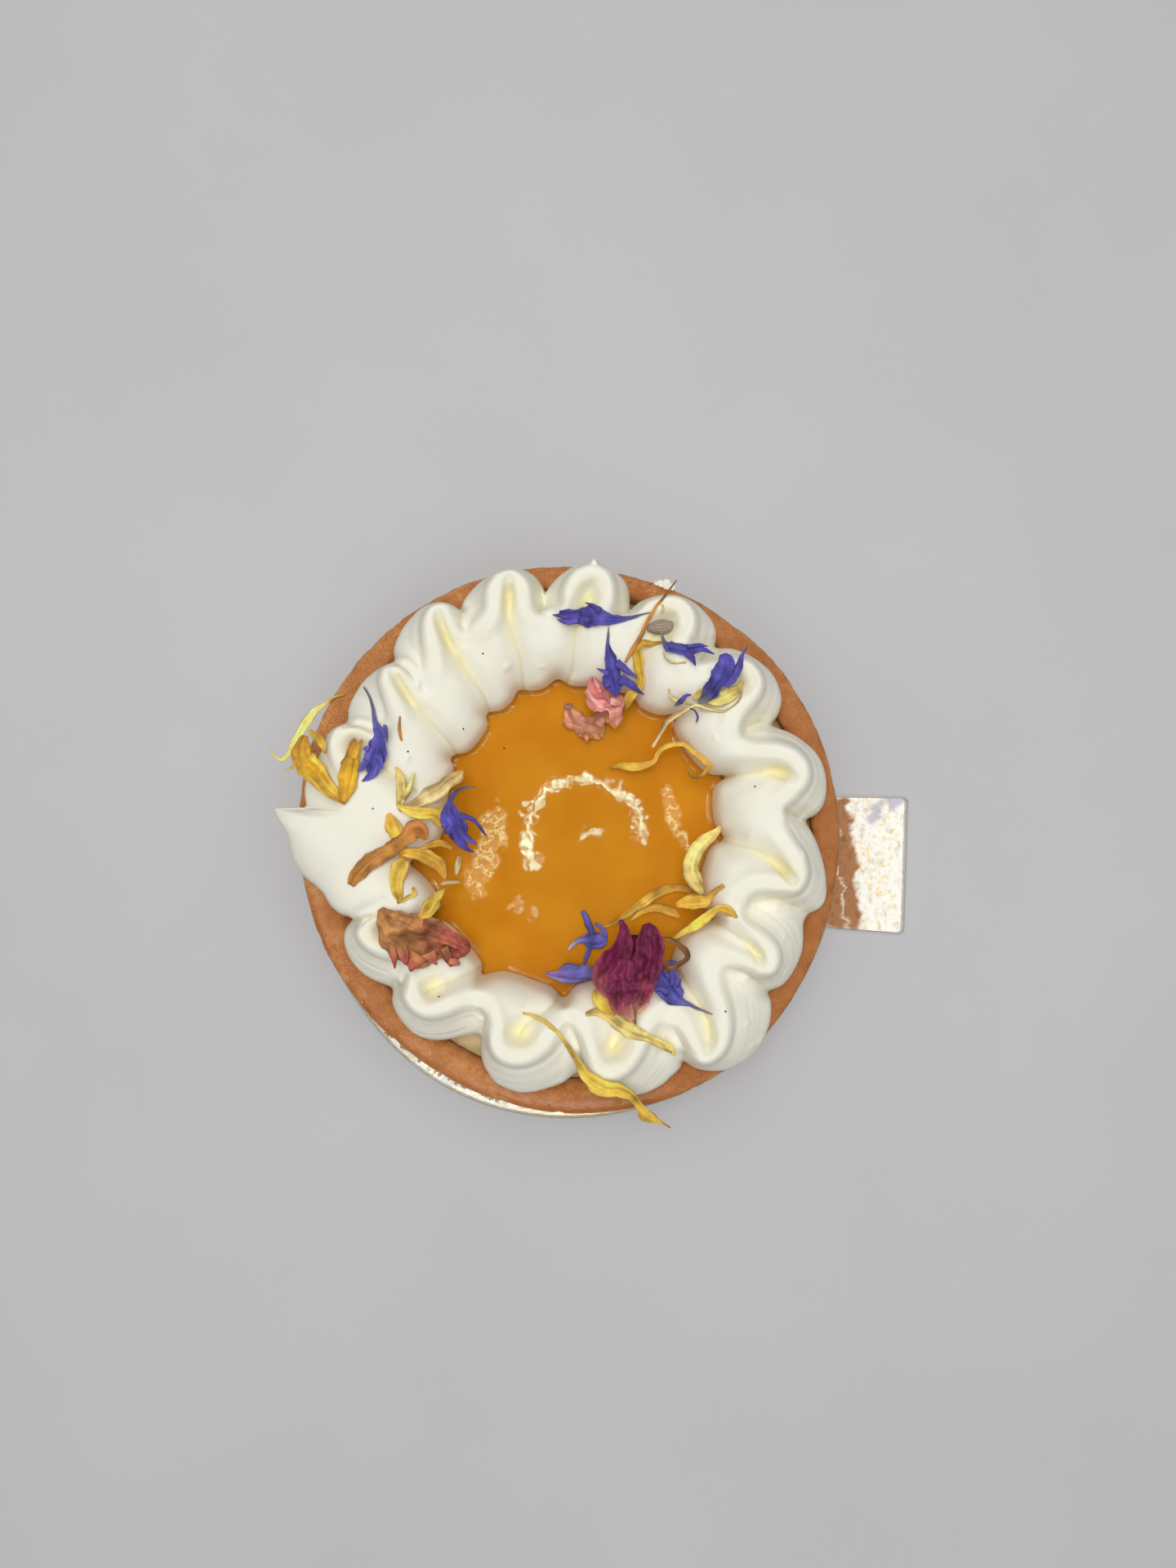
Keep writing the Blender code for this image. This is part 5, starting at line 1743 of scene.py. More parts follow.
        # The painted crease shade, stored as fold.
        put_values(cream, "fold", self.plan.sample(points[..., 0], points[..., 1], self.fold).ravel())
        return hand_over(cream, CreamFinish("whipped_cream"), "cream", "piped_cream")

    def hollows(self, points: Array) -> Array:
        """Share of painted yellow shade, from 0 to 1: round the head of each crease, and in deep places.

        Args:
            points: the cream's points.

        Returns:
            One share for each point.
        """
        solid = np.maximum(self.plan.height, 20.0)
        deep = held((self.plan.softened(solid, 2.4) - solid - 0.1) / 0.9)
        tint = np.zeros(solid.shape)
        for _, half, line in CREASES:
            share = np.linspace(0.0, 1.0, 40)
            strength = np.interp(share, (0.0, 0.06, 0.26, 0.6, 1.0), (0.3, 1.0, 0.8, 0.16, 0.08))
            width = np.interp(share, (0.0, 0.3, 0.6, 1.0), (1.0 + half, 0.9 + half, 1.1, 0.9))
            tint = np.maximum(tint, self.groove(smooth_line(line, 40), strength, width))
        reach = np.hypot(self.plan.x, self.plan.y)
        inside = held((reach - 24.0) / 3.0)
        value = 0.42 * self.plan.softened(tint, 0.35) + 0.42 * deep * inside
        value = held(self.plan.softened(value, 0.25)) * (0.25 + 0.75 * self.enclosed)
        high = held((points[..., 2] - 23.0) / 2.0)
        return self.plan.sample(points[..., 0], points[..., 1], value) * high


@dataclass
class CitrusGel:
    """The round of gel: level and glossy, drawn up where it meets the cream."""

    cream: PipedCream
    radius: float = 24.6
    edge_round: float = 0.4
    crown: float = 0.3
    swell: float = 0.007
    ripple: float = 0.0012
    drawn_up: float = 0.10
    drawn_within: float = 0.3
    under_cream: float = 19.86
    sides: int = 420
    rings: int = 110
    noise: Noise = field(default_factory=lambda: Noise(61))

    # Dull skins on the gel, paler by a painted reflection: middle in the picture, half length, half width,
    # degrees.
    skins: tuple[tuple[float, ...], ...] = (
        (591, 1061, 5.4, 1.7, 68.0), (605, 1017, 3.4, 1.9, 80.0), (823, 997, 3.6, 1.2, -75.0),
        (837, 1028, 2.3, 0.8, -55.0), (630, 1107, 1.2, 0.4, 30.0))

    def build(self) -> bpy.types.Object:
        """A disc with slow swells that rises towards the cream's foot within a millimetre.

        Returns:
            The finished piece.
        """
        angle = np.arange(self.sides) * TURN / self.sides
        inner, _ = self.cream.outline(angle)
        share = np.linspace(1.0 / self.rings, 1.0, self.rings)[:, None]
        radii = share * (self.radius - self.edge_round) + 0.0 * angle
        points = round_points(angle, radii, 0.0 * radii)
        crown = LEVELS.gel_edge + self.crown * (1.0 - share ** 2)
        swell = self.swell * self.noise.layered(points, 6.0, 2)
        swell = swell + self.ripple * self.noise.layered(points + 9.0, 1.1, 2)
        near = np.exp(-np.clip(inner - radii, 0.0, 9.0) / self.drawn_within)
        heights = crown + swell + self.drawn_up * near
        heights = np.where(radii > inner, np.minimum(heights, self.under_cream), heights)
        side = np.full(self.sides, self.radius)
        radii = np.vstack([radii, side, side])
        low = np.zeros(self.sides)
        heights = np.vstack([heights, LEVELS.gel_edge - self.edge_round + low, LEVELS.gel_base + low])
        gel = turned("citrus_gel_round", radii, heights)
        points = np.vstack([round_points(angle, radii, 0.0 * radii).reshape(-1, 3), np.zeros((2, 3))])
        put_values(gel, "skin_and_sheen", self.skin_and_sheen(points))
        return hand_over(gel, GelFinish("citrus_gel_gloss"), "gel", "citrus_gel")

    def skin_and_sheen(self, points: Array) -> Array:
        """Share of skin and of its painted reflection: soft ovals broken up by noise.

        Args:
            points: the gel's points.

        Returns:
            One share for each point.
        """
        total = np.zeros(len(points))
        places = PICTURE.plan(self.skins, LEVELS.gel_middle)
        for (x, y), (_, _, half_long, half_wide, heading) in zip(places, self.skins):
            u, v = along_and_across(points[:, 0] - x, points[:, 1] - y, math.radians(heading))
            reach = np.hypot(u / half_long, v / half_wide) + 0.35 * self.noise.layered(points, 1.6, 2)
            total = np.maximum(total, held((1.15 - reach) / 0.3))
        return total


# ---------------------------------------------------------------- dried petals
class Tint(Enum):
    """Colours of the dried petals from root to tip: stops of (share, colour)."""

    BLUE = ((0.0, (0.30, 0.30, 0.24)), (0.16, (0.15, 0.15, 0.28)), (0.32, (0.095, 0.085, 0.38)),
            (1.0, (0.105, 0.075, 0.40)))
    LILAC = ((0.0, (0.16, 0.15, 0.34)), (0.4, (0.13, 0.12, 0.42)), (1.0, (0.30, 0.22, 0.52)))
    LILAC_BLUE = ((0.0, (0.42, 0.38, 0.34)), (0.22, (0.28, 0.27, 0.44)), (0.5, (0.12, 0.11, 0.46)),
                  (1.0, (0.13, 0.11, 0.46)))
    YELLOW = ((0.0, (0.78, 0.52, 0.10)), (0.5, (0.92, 0.63, 0.09)), (1.0, (0.74, 0.43, 0.06)))
    PALE = ((0.0, (0.80, 0.56, 0.17)), (0.5, (0.94, 0.74, 0.24)), (1.0, (0.80, 0.56, 0.17)))
    STRAW = ((0.0, (0.72, 0.52, 0.25)), (0.5, (0.82, 0.62, 0.28)), (1.0, (0.62, 0.42, 0.15)))
    OCHRE = ((0.0, (0.70, 0.38, 0.05)), (0.5, (0.84, 0.50, 0.07)), (1.0, (0.56, 0.28, 0.04)))
    AMBER = ((0.0, (0.55, 0.27, 0.02)), (0.45, (0.78, 0.45, 0.03)), (1.0, (0.44, 0.19, 0.02)))
    GOLD = ((0.0, (0.52, 0.25, 0.03)), (0.4, (0.82, 0.50, 0.05)), (0.8, (0.86, 0.56, 0.08)),
            (1.0, (0.50, 0.22, 0.03)))
    ORANGE = ((0.0, (0.50, 0.21, 0.04)), (0.5, (0.60, 0.27, 0.06)), (1.0, (0.52, 0.20, 0.04)))
    BROWN = ((0.0, (0.34, 0.16, 0.05)), (0.6, (0.27, 0.11, 0.03)), (1.0, (0.20, 0.08, 0.03)))
    MAGENTA = ((0.0, (0.20, 0.020, 0.075)), (0.5, (0.17, 0.016, 0.060)), (0.72, (0.34, 0.07, 0.10)),
               (0.87, (0.62, 0.27, 0.20)), (1.0, (0.60, 0.34, 0.16)))
    PINK = ((0.0, (0.74, 0.36, 0.18)), (0.5, (0.84, 0.38, 0.26)), (1.0, (0.66, 0.32, 0.11)))
    ROSE = ((0.0, (0.70, 0.24, 0.22)), (0.5, (0.90, 0.38, 0.34)), (1.0, (0.70, 0.26, 0.20)))
    RUSSET = ((0.0, (0.52, 0.26, 0.08)), (0.45, (0.50, 0.22, 0.08)), (0.8, (0.44, 0.11, 0.07)),
              (1.0, (0.38, 0.08, 0.06)))


@dataclass(frozen=True)
class Habit:
    """How a kind of petal dries: how steeply its sides fold up, the height of its pleats
    and crumples and of its raised ends, how ragged its edge is, how many ribs it has and
    how much lighter its edge is."""

    fold: float = 0.35
    pleat: float = 0.16
    crumple: float = 0.22
    lift: float = 0.5
    ragged: float = 0.14
    ribs: float = 2.4
    edge: float = -0.22


HABITS = {
    "yellow": Habit(fold=0.30, pleat=0.20, crumple=0.15),
    "ochre": Habit(fold=0.40, pleat=0.22, crumple=0.18),
    "blue": Habit(fold=0.45, pleat=0.22, crumple=0.25, ragged=0.22, ribs=2.8),
    "brown": Habit(fold=0.6, pleat=0.10, crumple=0.10),
    "magenta": Habit(fold=0.45, pleat=0.38, crumple=0.5, lift=1.0, ragged=0.12, ribs=1.3,
                     edge=0.7),
    "orange": Habit(fold=0.35, pleat=0.18, crumple=0.15),
    "russet": Habit(fold=0.03, pleat=0.25, crumple=0.45, lift=0.6, ragged=0.12, ribs=4.5),
    "pale": Habit(fold=0.30, pleat=0.20, crumple=0.12, ribs=3.2),
    "amber": Habit(fold=0.55, pleat=0.35, crumple=0.35, lift=0.9),
    "pink": Habit(fold=0.15, pleat=0.40, crumple=0.95, lift=0.7, ragged=0.32),
}


@dataclass(frozen=True)
class Petal:
    """One dried petal of the solid it stands for, or a loose scrap without one.

    Its ribbons are rows of picks on a crop with a half width in the crop's pixels, from
    root to tip.  The first runs through the whole tint, and so do the others where
    `whole` is set; else they start half way.
    """

    node: str
    slot: str
    tint: Tint
    crop: Crop
    ribbons: tuple[Ribbon, ...]
    whole: bool = False


PETALS = (
    Petal("petal_long", "yellow", Tint.YELLOW, LOWER_SIDE, (
        ((0, 615, 5), (50, 625, 6), (100, 655, 8), (150, 700, 8), (190, 750, 9), (225, 800, 12),
         (260, 850, 24), (300, 890, 36), (350, 915, 36), (400, 920, 30), (450, 940, 20), (480, 960, 16),
         (500, 990, 26), (530, 1010, 22), (550, 1022, 12), (575, 1035, 5), (605, 1055, 3)),)),
    Petal("petal_yellow_b", "yellow", Tint.PALE, LOWER_SIDE, (
        ((262, 618, 8), (310, 610, 16), (360, 625, 24), (410, 655, 30), (460, 690, 28), (520, 715, 18),
         (570, 735, 18), (610, 755, 16), (632, 785, 5)),
        ((520, 705, 6), (570, 745, 8), (618, 772, 4)))),
    Petal("petal_yellow_a", "yellow", Tint.YELLOW, LOWER_SIDE, (
        ((305, 500, 10), (315, 540, 26), (335, 575, 30), (360, 600, 18), (385, 612, 5)),)),
    Petal("marigold_arch", "ochre", Tint.OCHRE, LOWER_SIDE, (
        ((330, 258, 4), (380, 240, 9), (440, 200, 13), (500, 155, 18), (560, 115, 20), (620, 95, 16),
         (670, 95, 14), (705, 112, 8)),
        ((450, 228, 5), (500, 190, 11), (560, 175, 16), (620, 195, 18), (655, 215, 6)))),
    Petal("marigold_upper", "ochre", Tint.OCHRE, LOWER_SIDE, (
        ((625, 152, 10), (680, 140, 28), (730, 135, 28), (765, 130, 16), (800, 105, 11), (838, 83, 9)),)),
    Petal("marigold_lower", "ochre", Tint.YELLOW, LOWER_SIDE, (
        ((600, 300, 5), (655, 262, 12), (700, 232, 18), (745, 195, 20), (810, 178, 18), (860, 190, 20),
         (893, 217, 4)),)),
    Petal("strip_gel", "ochre", Tint.PALE, WHOLE, (
        ((881, 1012, 2), (872, 1020, 5), (858, 1031, 8), (846, 1046, 9), (841, 1064, 9), (846, 1079, 8),
         (853, 1091, 3)),)),
    Petal("floret_low_a", "blue", Tint.LILAC_BLUE, LOWER_SIDE, (
        ((190, 352, 5), (212, 325, 10), (245, 308, 14), (290, 310, 34), (328, 305, 28), (348, 290, 8)),
        ((250, 188, 8), (272, 235, 15), (292, 285, 14)),
        ((302, 240, 6), (335, 265, 9), (346, 296, 5)),
        ((282, 335, 8), (264, 385, 9), (254, 408, 4)))),
    Petal("floret_low_b", "blue", Tint.LILAC, LOWER_SIDE, (
        ((310, 420, 8), (285, 432, 22), (240, 440, 36), (190, 440, 34), (140, 450, 15), (93, 446, 3)),
        ((275, 460, 5), (220, 470, 9), (160, 466, 9), (98, 450, 2)))),
    Petal("floret_low_c", "blue", Tint.LILAC_BLUE, LOWER_SIDE, (
        ((790, 620, 3), (750, 600, 6), (700, 580, 10), (655, 562, 24), (620, 520, 48), (590, 470, 52),
         (562, 430, 30), (553, 392, 8)),
        ((620, 480, 16), (612, 430, 18), (598, 398, 8)),
        ((600, 520, 14), (560, 500, 10), (512, 505, 4)))),
    Petal("curl_brown", "brown", Tint.BROWN, LOWER_SIDE, (
        ((555, 285, 7), (600, 290, 11), (640, 315, 11), (675, 352, 12), (680, 380, 10), (640, 395, 10),
         (590, 396, 9), (552, 380, 4)),)),
    Petal("rose_magenta", "magenta", Tint.MAGENTA, LOWER_SIDE, (
        ((455, 270, 17), (462, 330, 40), (460, 420, 55), (455, 510, 52), (450, 590, 25)),
        ((400, 208, 9), (415, 250, 21), (412, 300, 39), (388, 350, 56), (352, 400, 59), (335, 450, 42),
         (350, 500, 27), (400, 560, 12)),
        ((500, 220, 17), (512, 260, 45), (512, 320, 56), (500, 380, 62), (485, 440, 53), (472, 500, 36),
         (458, 570, 18), (468, 655, 3)),
        ((420, 350, 26), (405, 420, 50), (405, 490, 58), (410, 545, 44),
         (435, 590, 24), (458, 632, 9))), whole=True),
    Petal("marigold_ochre", "ochre", Tint.OCHRE, LEFT_SIDE, (
        ((437, 498, 8), (452, 535, 26), (470, 575, 27), (485, 615, 22), (500, 650, 16), (522, 658, 8)),
        ((498, 640, 12), (550, 642, 22), (600, 655, 24), (640, 680, 22), (655, 715, 13), (658, 738, 3)),
        ((570, 630, 4), (610, 612, 11), (650, 606, 13), (688, 622, 8)))),
    Petal("marigold_down", "ochre", Tint.YELLOW, LEFT_SIDE, (
        ((525, 668, 14), (490, 700, 30), (470, 740, 26), (470, 780, 19), (477, 812, 12), (470, 830, 3)),
        ((485, 824, 5), (510, 805, 7), (535, 793, 7), (530, 768, 5)))),
    Petal("marigold_brown", "orange", Tint.ORANGE, LEFT_SIDE, (
        ((298, 762, 12), (325, 720, 28), (365, 682, 33), (410, 652, 31), (450, 630, 27), (500, 590, 24),
         (540, 562, 40), (568, 572, 30), (582, 595, 6)),)),
    Petal("rose_fan", "russet", Tint.RUSSET, LEFT_SIDE, (
        ((408, 848, 12), (440, 890, 50), (490, 930, 80), (545, 965, 92), (600, 968, 85), (650, 972, 60),
         (690, 985, 50), (725, 992, 38), (740, 1002, 14)),
        ((560, 1010, 30), (540, 1040, 22), (528, 1072, 5)),
        ((490, 985, 24), (505, 1020, 18), (512, 1046, 5)),
        ((640, 990, 26), (662, 1030, 16), (672, 1058, 6)),
        ((665, 1035, 10), (690, 1040, 14), (705, 1048, 5)),
        ((600, 1000, 26), (612, 1028, 14), (624, 1046, 4)),
        ((455, 975, 9), (466, 1020, 11), (474, 1058, 3)))),
    Petal("petal_veined_up", "pale", Tint.PALE, LEFT_SIDE, (
        ((462, 328, 5), (480, 360, 14), (488, 400, 18), (485, 440, 18), (478, 470, 11), (482, 492, 5)),
        ((532, 350, 4), (526, 385, 7), (515, 420, 11), (494, 445, 10)))),
    Petal("petal_veined", "pale", Tint.STRAW, LEFT_SIDE, (
        ((490, 482, 8), (545, 460, 20), (590, 435, 28), (635, 412, 28), (675, 390, 26), (708, 368, 22),
         (723, 348, 6)),)),
    Petal("petal_yellow_c", "pale", Tint.YELLOW, LEFT_SIDE, (
        ((470, 468, 6), (520, 490, 16), (565, 498, 20), (610, 500, 22), (650, 514, 30), (670, 538, 22),
         (674, 556, 6)),)),
    Petal("floret_gel", "blue", Tint.BLUE, LEFT_SIDE, (
        ((772, 408, 3), (735, 410, 5), (705, 425, 7), (686, 460, 11), (690, 500, 30), (705, 540, 42),
         (712, 575, 36), (724, 605, 20), (748, 632, 8), (766, 637, 2)),
        ((725, 508, 10), (770, 525, 8), (805, 568, 4), (814, 582, 1)),
        ((725, 555, 14), (745, 588, 11), (780, 610, 3)),
        ((695, 555, 18), (672, 572, 4)))),
    Petal("petal_folded_a", "amber", Tint.GOLD, LEFT_SIDE, (
        ((160, 222, 12), (152, 262, 30), (163, 310, 42), (185, 355, 44), (212, 395, 31), (245, 430, 21),
         (278, 462, 5)),
        ((190, 210, 9), (204, 240, 14), (210, 278, 5)))),
    Petal("petal_folded_b", "amber", Tint.AMBER, LEFT_SIDE, (
        ((278, 458, 7), (280, 420, 26), (286, 380, 38), (296, 335, 36), (306, 295, 27), (312, 250, 13),
         (315, 224, 3)),
        ((318, 300, 12), (332, 260, 10), (341, 228, 3)))),
    Petal("floret_left", "blue", Tint.LILAC_BLUE, LEFT_SIDE, (
        ((350, 35, 3), (368, 70, 5), (380, 110, 6), (388, 150, 9), (398, 190, 17), (404, 220, 26),
         (398, 260, 36), (390, 300, 40), (385, 330, 34), (372, 358, 18), (340, 380, 3)),
        ((402, 180, 8), (424, 200, 8), (437, 228, 2)),
        ((408, 285, 14), (421, 310, 8), (424, 338, 2)),
        ((365, 305, 14), (344, 335, 8), (328, 345, 2)),
        ((370, 265, 12), (352, 262, 5)))),
    Petal("sliver_small", "brown", Tint.ORANGE, LEFT_SIDE, (
        ((478, 141, 3), (476, 180, 6), (480, 210, 6), (485, 232, 3)),)),
    Petal("petal_overhang", "pale", Tint.PALE, LEFT_SIDE, (
        ((274, 62, 3), (232, 72, 5), (200, 98, 8), (166, 120, 14), (138, 158, 21), (113, 198, 16),
         (92, 235, 14), (70, 275, 10), (45, 301, 7), (20, 288, 5), (0, 262, 3)),)),
    Petal("petal_golden", "amber", Tint.GOLD, UPPER_SIDE, (
        ((572, 328, 5), (520, 335, 13), (480, 337, 19), (455, 370, 18), (460, 420, 23), (466, 470, 21),
         (470, 520, 21), (445, 570, 18), (415, 610, 22), (402, 648, 12), (386, 657, 4)),)),
    Petal("rose_pink_lower", "pink", Tint.PINK, UPPER_SIDE, (
        ((132, 618, 8), (148, 660, 36), (175, 700, 56), (220, 725, 60), (265, 745, 46), (288, 778, 10)),
        ((150, 640, 20), (128, 628, 16), (114, 616, 4)),
        ((261, 706, 26), (299, 674, 35), (334, 687, 32), (366, 725, 13)))),
    Petal("rose_pink_upper", "pink", Tint.ROSE, UPPER_SIDE, (
        ((250, 492, 12), (252, 540, 36), (270, 590, 50), (305, 620, 60), (340, 652, 48), (352, 700, 32),
         (358, 735, 8)),
        ((330, 620, 30), (358, 625, 24), (382, 640, 8)))),
    Petal("floret_bell", "blue", Tint.BLUE, UPPER_SIDE, (
        ((325, 255, 3), (322, 300, 6), (320, 350, 11), (330, 400, 26), (340, 450, 38), (345, 500, 46),
         (345, 550, 42), (350, 590, 24), (356, 610, 5)),
        ((360, 425, 16), (410, 465, 15), (456, 502, 3)),
        ((375, 510, 26), (430, 550, 16), (487, 578, 2)),
        ((320, 485, 14), (292, 470, 8), (268, 457, 2)),
        ((325, 555, 14), (300, 577, 4)))),
    Petal("floret_top", "blue", Tint.BLUE, UPPER_SIDE, (
        ((517, 188, 3), (470, 200, 6), (420, 215, 10), (370, 222, 15), (320, 220, 30), (280, 215, 44),
         (230, 215, 44), (180, 212, 34), (130, 200, 22), (95, 186, 6)),
        ((190, 215, 24), (130, 212, 16), (64, 205, 2)),
        ((180, 232, 16), (125, 240, 12), (84, 226, 2)),
        ((285, 190, 16), (252, 168, 11), (216, 155, 2)))),
    Petal("sliver_orange", "orange", Tint.ORANGE, UPPER_SIDE, (
        ((622, 94, 3), (580, 120, 6), (550, 155, 7), (530, 190, 8), (500, 240, 8), (480, 290, 9),
         (450, 340, 10), (425, 380, 10), (400, 427, 4)),)),
    Petal("petal_pale", "pale", Tint.PALE, UPPER_SIDE, (
        ((715, 592, 8), (760, 575, 28), (820, 598, 34), (880, 580, 30), (928, 545, 16), (942, 512, 4)),)),
    Petal("floret_right", "blue", Tint.BLUE, UPPER_SIDE, (
        ((738, 622, 7), (770, 590, 28), (800, 550, 38), (835, 500, 46), (858, 450, 46), (862, 412, 34),
         (848, 390, 14)),
        ((862, 545, 14), (898, 500, 17), (925, 450, 15), (940, 400, 9), (950, 374, 2)))),
    Petal("floret_frayed", "blue", Tint.BLUE, UPPER_SIDE, (
        ((564, 284, 4), (580, 330, 9), (600, 350, 26), (650, 360, 32), (700, 365, 25), (750, 370, 12),
         (812, 390, 2)),
        ((680, 380, 16), (712, 408, 13), (727, 440, 2)),
        ((595, 350, 10), (587, 380, 2)),
        ((690, 350, 10), (740, 352, 8), (775, 368, 2)))),
    Petal("thread_pale", "pale", Tint.STRAW, UPPER_SIDE, (
        ((518, 832, 7), (556, 765, 9), (580, 722, 13), (630, 690, 11), (680, 652, 11), (720, 632, 8),
         (780, 640, 8), (850, 650, 6), (885, 638, 5), (930, 600, 4), (942, 560, 3)),
        ((604, 545, 5), (616, 590, 7), (650, 615, 6), (705, 628, 4)))),
    Petal("thread_curly", "ochre", Tint.OCHRE, UPPER_SIDE, (
        ((328, 912, 5), (380, 905, 15), (430, 910, 21), (490, 905, 19), (530, 888, 11), (545, 855, 11),
         (570, 830, 11), (620, 815, 11), (670, 820, 9), (720, 850, 11), (770, 885, 13), (790, 905, 12),
         (770, 925, 9), (740, 958, 9), (700, 965, 7), (682, 940, 5), (692, 910, 4)),)),
    Petal("", "pale", Tint.STRAW, LEFT_SIDE, (
        ((100, 354, 4), (132, 338, 5)),)),
    Petal("", "pale", Tint.STRAW, LEFT_SIDE, (
        ((697, 655, 10), (692, 690, 12), (684, 725, 8)),
        ((645, 750, 7), (680, 745, 9), (716, 744, 6)))),
    Petal("", "ochre", Tint.YELLOW, LEFT_SIDE, (
        ((672, 764, 6), (640, 800, 20), (605, 842, 30), (572, 872, 8)),)),
    Petal("", "blue", Tint.LILAC, LEFT_SIDE, (
        ((432, 178, 7), (440, 202, 9), (439, 242, 3)),)),
    Petal("", "blue", Tint.BLUE, UPPER_SIDE, (
        ((622, 640, 6), (655, 612, 11), (682, 582, 9), (708, 575, 3)),
        ((692, 650, 3), (716, 655, 4), (736, 680, 5), (729, 706, 2)))),
    Petal("", "blue", Tint.BLUE, LOWER_SIDE, (
        ((574, 372, 4), (600, 371, 9), (624, 376, 5)),)),
    Petal("", "pale", Tint.PALE, UPPER_SIDE, (
        ((575, 150, 3), (579, 175, 5), (570, 197, 2)),)),
    Petal("", "pale", Tint.STRAW, UPPER_SIDE, (
        ((575, 378, 3), (590, 410, 4), (630, 424, 5), (684, 422, 4)),)),
)


@dataclass
class DriedPetals:
    """All the dried petals, laid down one after another on what lies under them."""

    ground: PlanMap
    bare: Array
    thickness: float = 0.13
    gap: float = 0.05
    droop: float = 0.45
    margin: float = 0.25
    row_step: float = 0.22
    column_step: float = 0.2
    most_rows: int = 72
    most_columns: int = 26
    smooth_rows: int = 3
    thin_edge: float = 0.3
    thin_within: float = 0.15
    steepest: float = 2.2
    streak: float = 0.30
    blotch: float = 0.20
    # How much painted shade and light the relief gives: darker in its valleys, lighter on its ridges.
    relief_shade: float = 0.45
    noise: Noise = field(default_factory=lambda: Noise(83))

    def build(self) -> list[bpy.types.Object]:
        """Lay each petal on the ground and raise the ground to it."""
        return [self.lay(petal, number) for number, petal in enumerate(PETALS)]

    def measured(self, crop: Crop, ribbon: Ribbon) -> Array:
        """Rows of x, y and half width of a ribbon, from where its picks meet the bare ground.

        Args:
            crop: the crop it was picked on.
            ribbon: its picks with half widths in pixels.

        Returns:
            The rows in millimetres.
        """
        picks = np.asarray(ribbon, dtype=float)
        placed = PICTURE.on_ground(crop.whole(picks), self.ground, self.bare)
        pixel = (PICTURE.eye[2] - placed[:, 2]) / PICTURE.focal
        return np.column_stack([placed[:, :2], picks[:, 2] / crop.scale * pixel])

    def plan_of(self, ribbon: Array, habit: Habit,
                seed: float) -> tuple[Array, Array, Array, Array, float]:
        """Plan of a ribbon's grid: each row lies square to the middle line.

        Args:
            ribbon: the ribbon's rows.
            habit: how its kind dries.
            seed: shifts the noise.

        Returns:
            x, y and half width for each (row, column), the shares v across, and the length.
        """
        length = sum(math.dist(a[:2], b[:2]) for a, b in zip(ribbon, ribbon[1:]))
        rows = int(np.clip(length / self.row_step, 10, self.most_rows))
        widest = max(half for _, _, half in ribbon)
        columns = int(np.clip(2 * widest / self.column_step, 4, self.most_columns)) + 1
        line = smooth_line(ribbon, rows)
        heading = np.gradient(line[:, :2], axis=0)
        heading /= np.maximum(np.hypot(*heading.T), 1e-6)[:, None]
        v = np.linspace(-1.0, 1.0, columns)
        run = np.linspace(0.0, length, rows)[:, None] + 0.0 * v
        rough = self.noise.layered(np.stack([run, np.sign(v) * 9.0 + seed + 0 * run, 0 * run], -1),
                                   1.1, 3)
        half = np.maximum(line[:, 2:], 0.04) * (1.0 + habit.ragged * rough)
        x = line[:, :1] - heading[:, 1:] * v * half
        y = line[:, 1:2] + heading[:, :1] * v * half
        return x, y, half, v, length

    def sheet(self, ribbon: Array, habit: Habit,
              seed: float) -> tuple[Array, Array, Array]:
        """Lower face of a ribbon, laid over the ground, and its relief.

        Each row lies on the highest ground across it, or hangs from a higher row at a
        steady droop.  On that lie the fold, a twist, pleats along it and crumples, and no
        point sinks into the ground.

        Args:
            ribbon: the ribbon's rows.
            habit: how its kind dries.
            seed: shifts the noise.

        Returns:
            Points for each (row, column), the pleats and crumples as a share of their
            height, and the shares v across.
        """
        x, y, half, v, length = self.plan_of(ribbon, habit, seed)
        u = np.linspace(0.0, 1.0, len(x))[:, None]
        floor = self.ground.sample(x, y)
        for shift_x, shift_y in ((1, 0), (-1, 0), (0, 1), (0, -1)):
            beside = self.ground.sample(x + self.margin * shift_x, y + self.margin * shift_y)
            floor = np.maximum(floor, beside)
        floor = floor + self.gap
        apart = np.abs(u - u.T) * length
        level = (floor.max(axis=1) - self.droop * apart).max(axis=1)
        span = 2 * self.smooth_rows + 1
        level = np.convolve(np.pad(level, self.smooth_rows, mode="edge"), np.full(span, 1 / span),
                            mode="valid")
        width = np.clip(half / 1.2, 0.15, 1.6)
        pleat = self.noise.layered(np.stack([v * habit.ribs * width + seed, u * length / 5.0 + 0 * v,
                                             seed + 0 * half], -1), 1.0, 2)
        crumple = self.noise.layered(np.stack([x + seed, y, 0 * x], -1), 1.5, 3)
        twist = self.noise.at(np.stack([u[:, 0] * length, 0 * u[:, 0] + seed, 0 * u[:, 0]], -1), 4.0)
        relief = habit.fold * np.abs(v) * half + 0.5 * twist[:, None] * v * half
        relief = relief + (habit.pleat * pleat + habit.crumple * crumple) * width
        relief = relief + habit.lift * held(u - 0.7) ** 2 * 8.0 * np.minimum(length / 9, 1)
        z = np.maximum(level[:, None] + relief - relief.min(axis=1, keepdims=True) * 0.6, floor)
        return np.stack([x, y, z], axis=-1), 0.6 * pleat + 0.7 * crumple, v

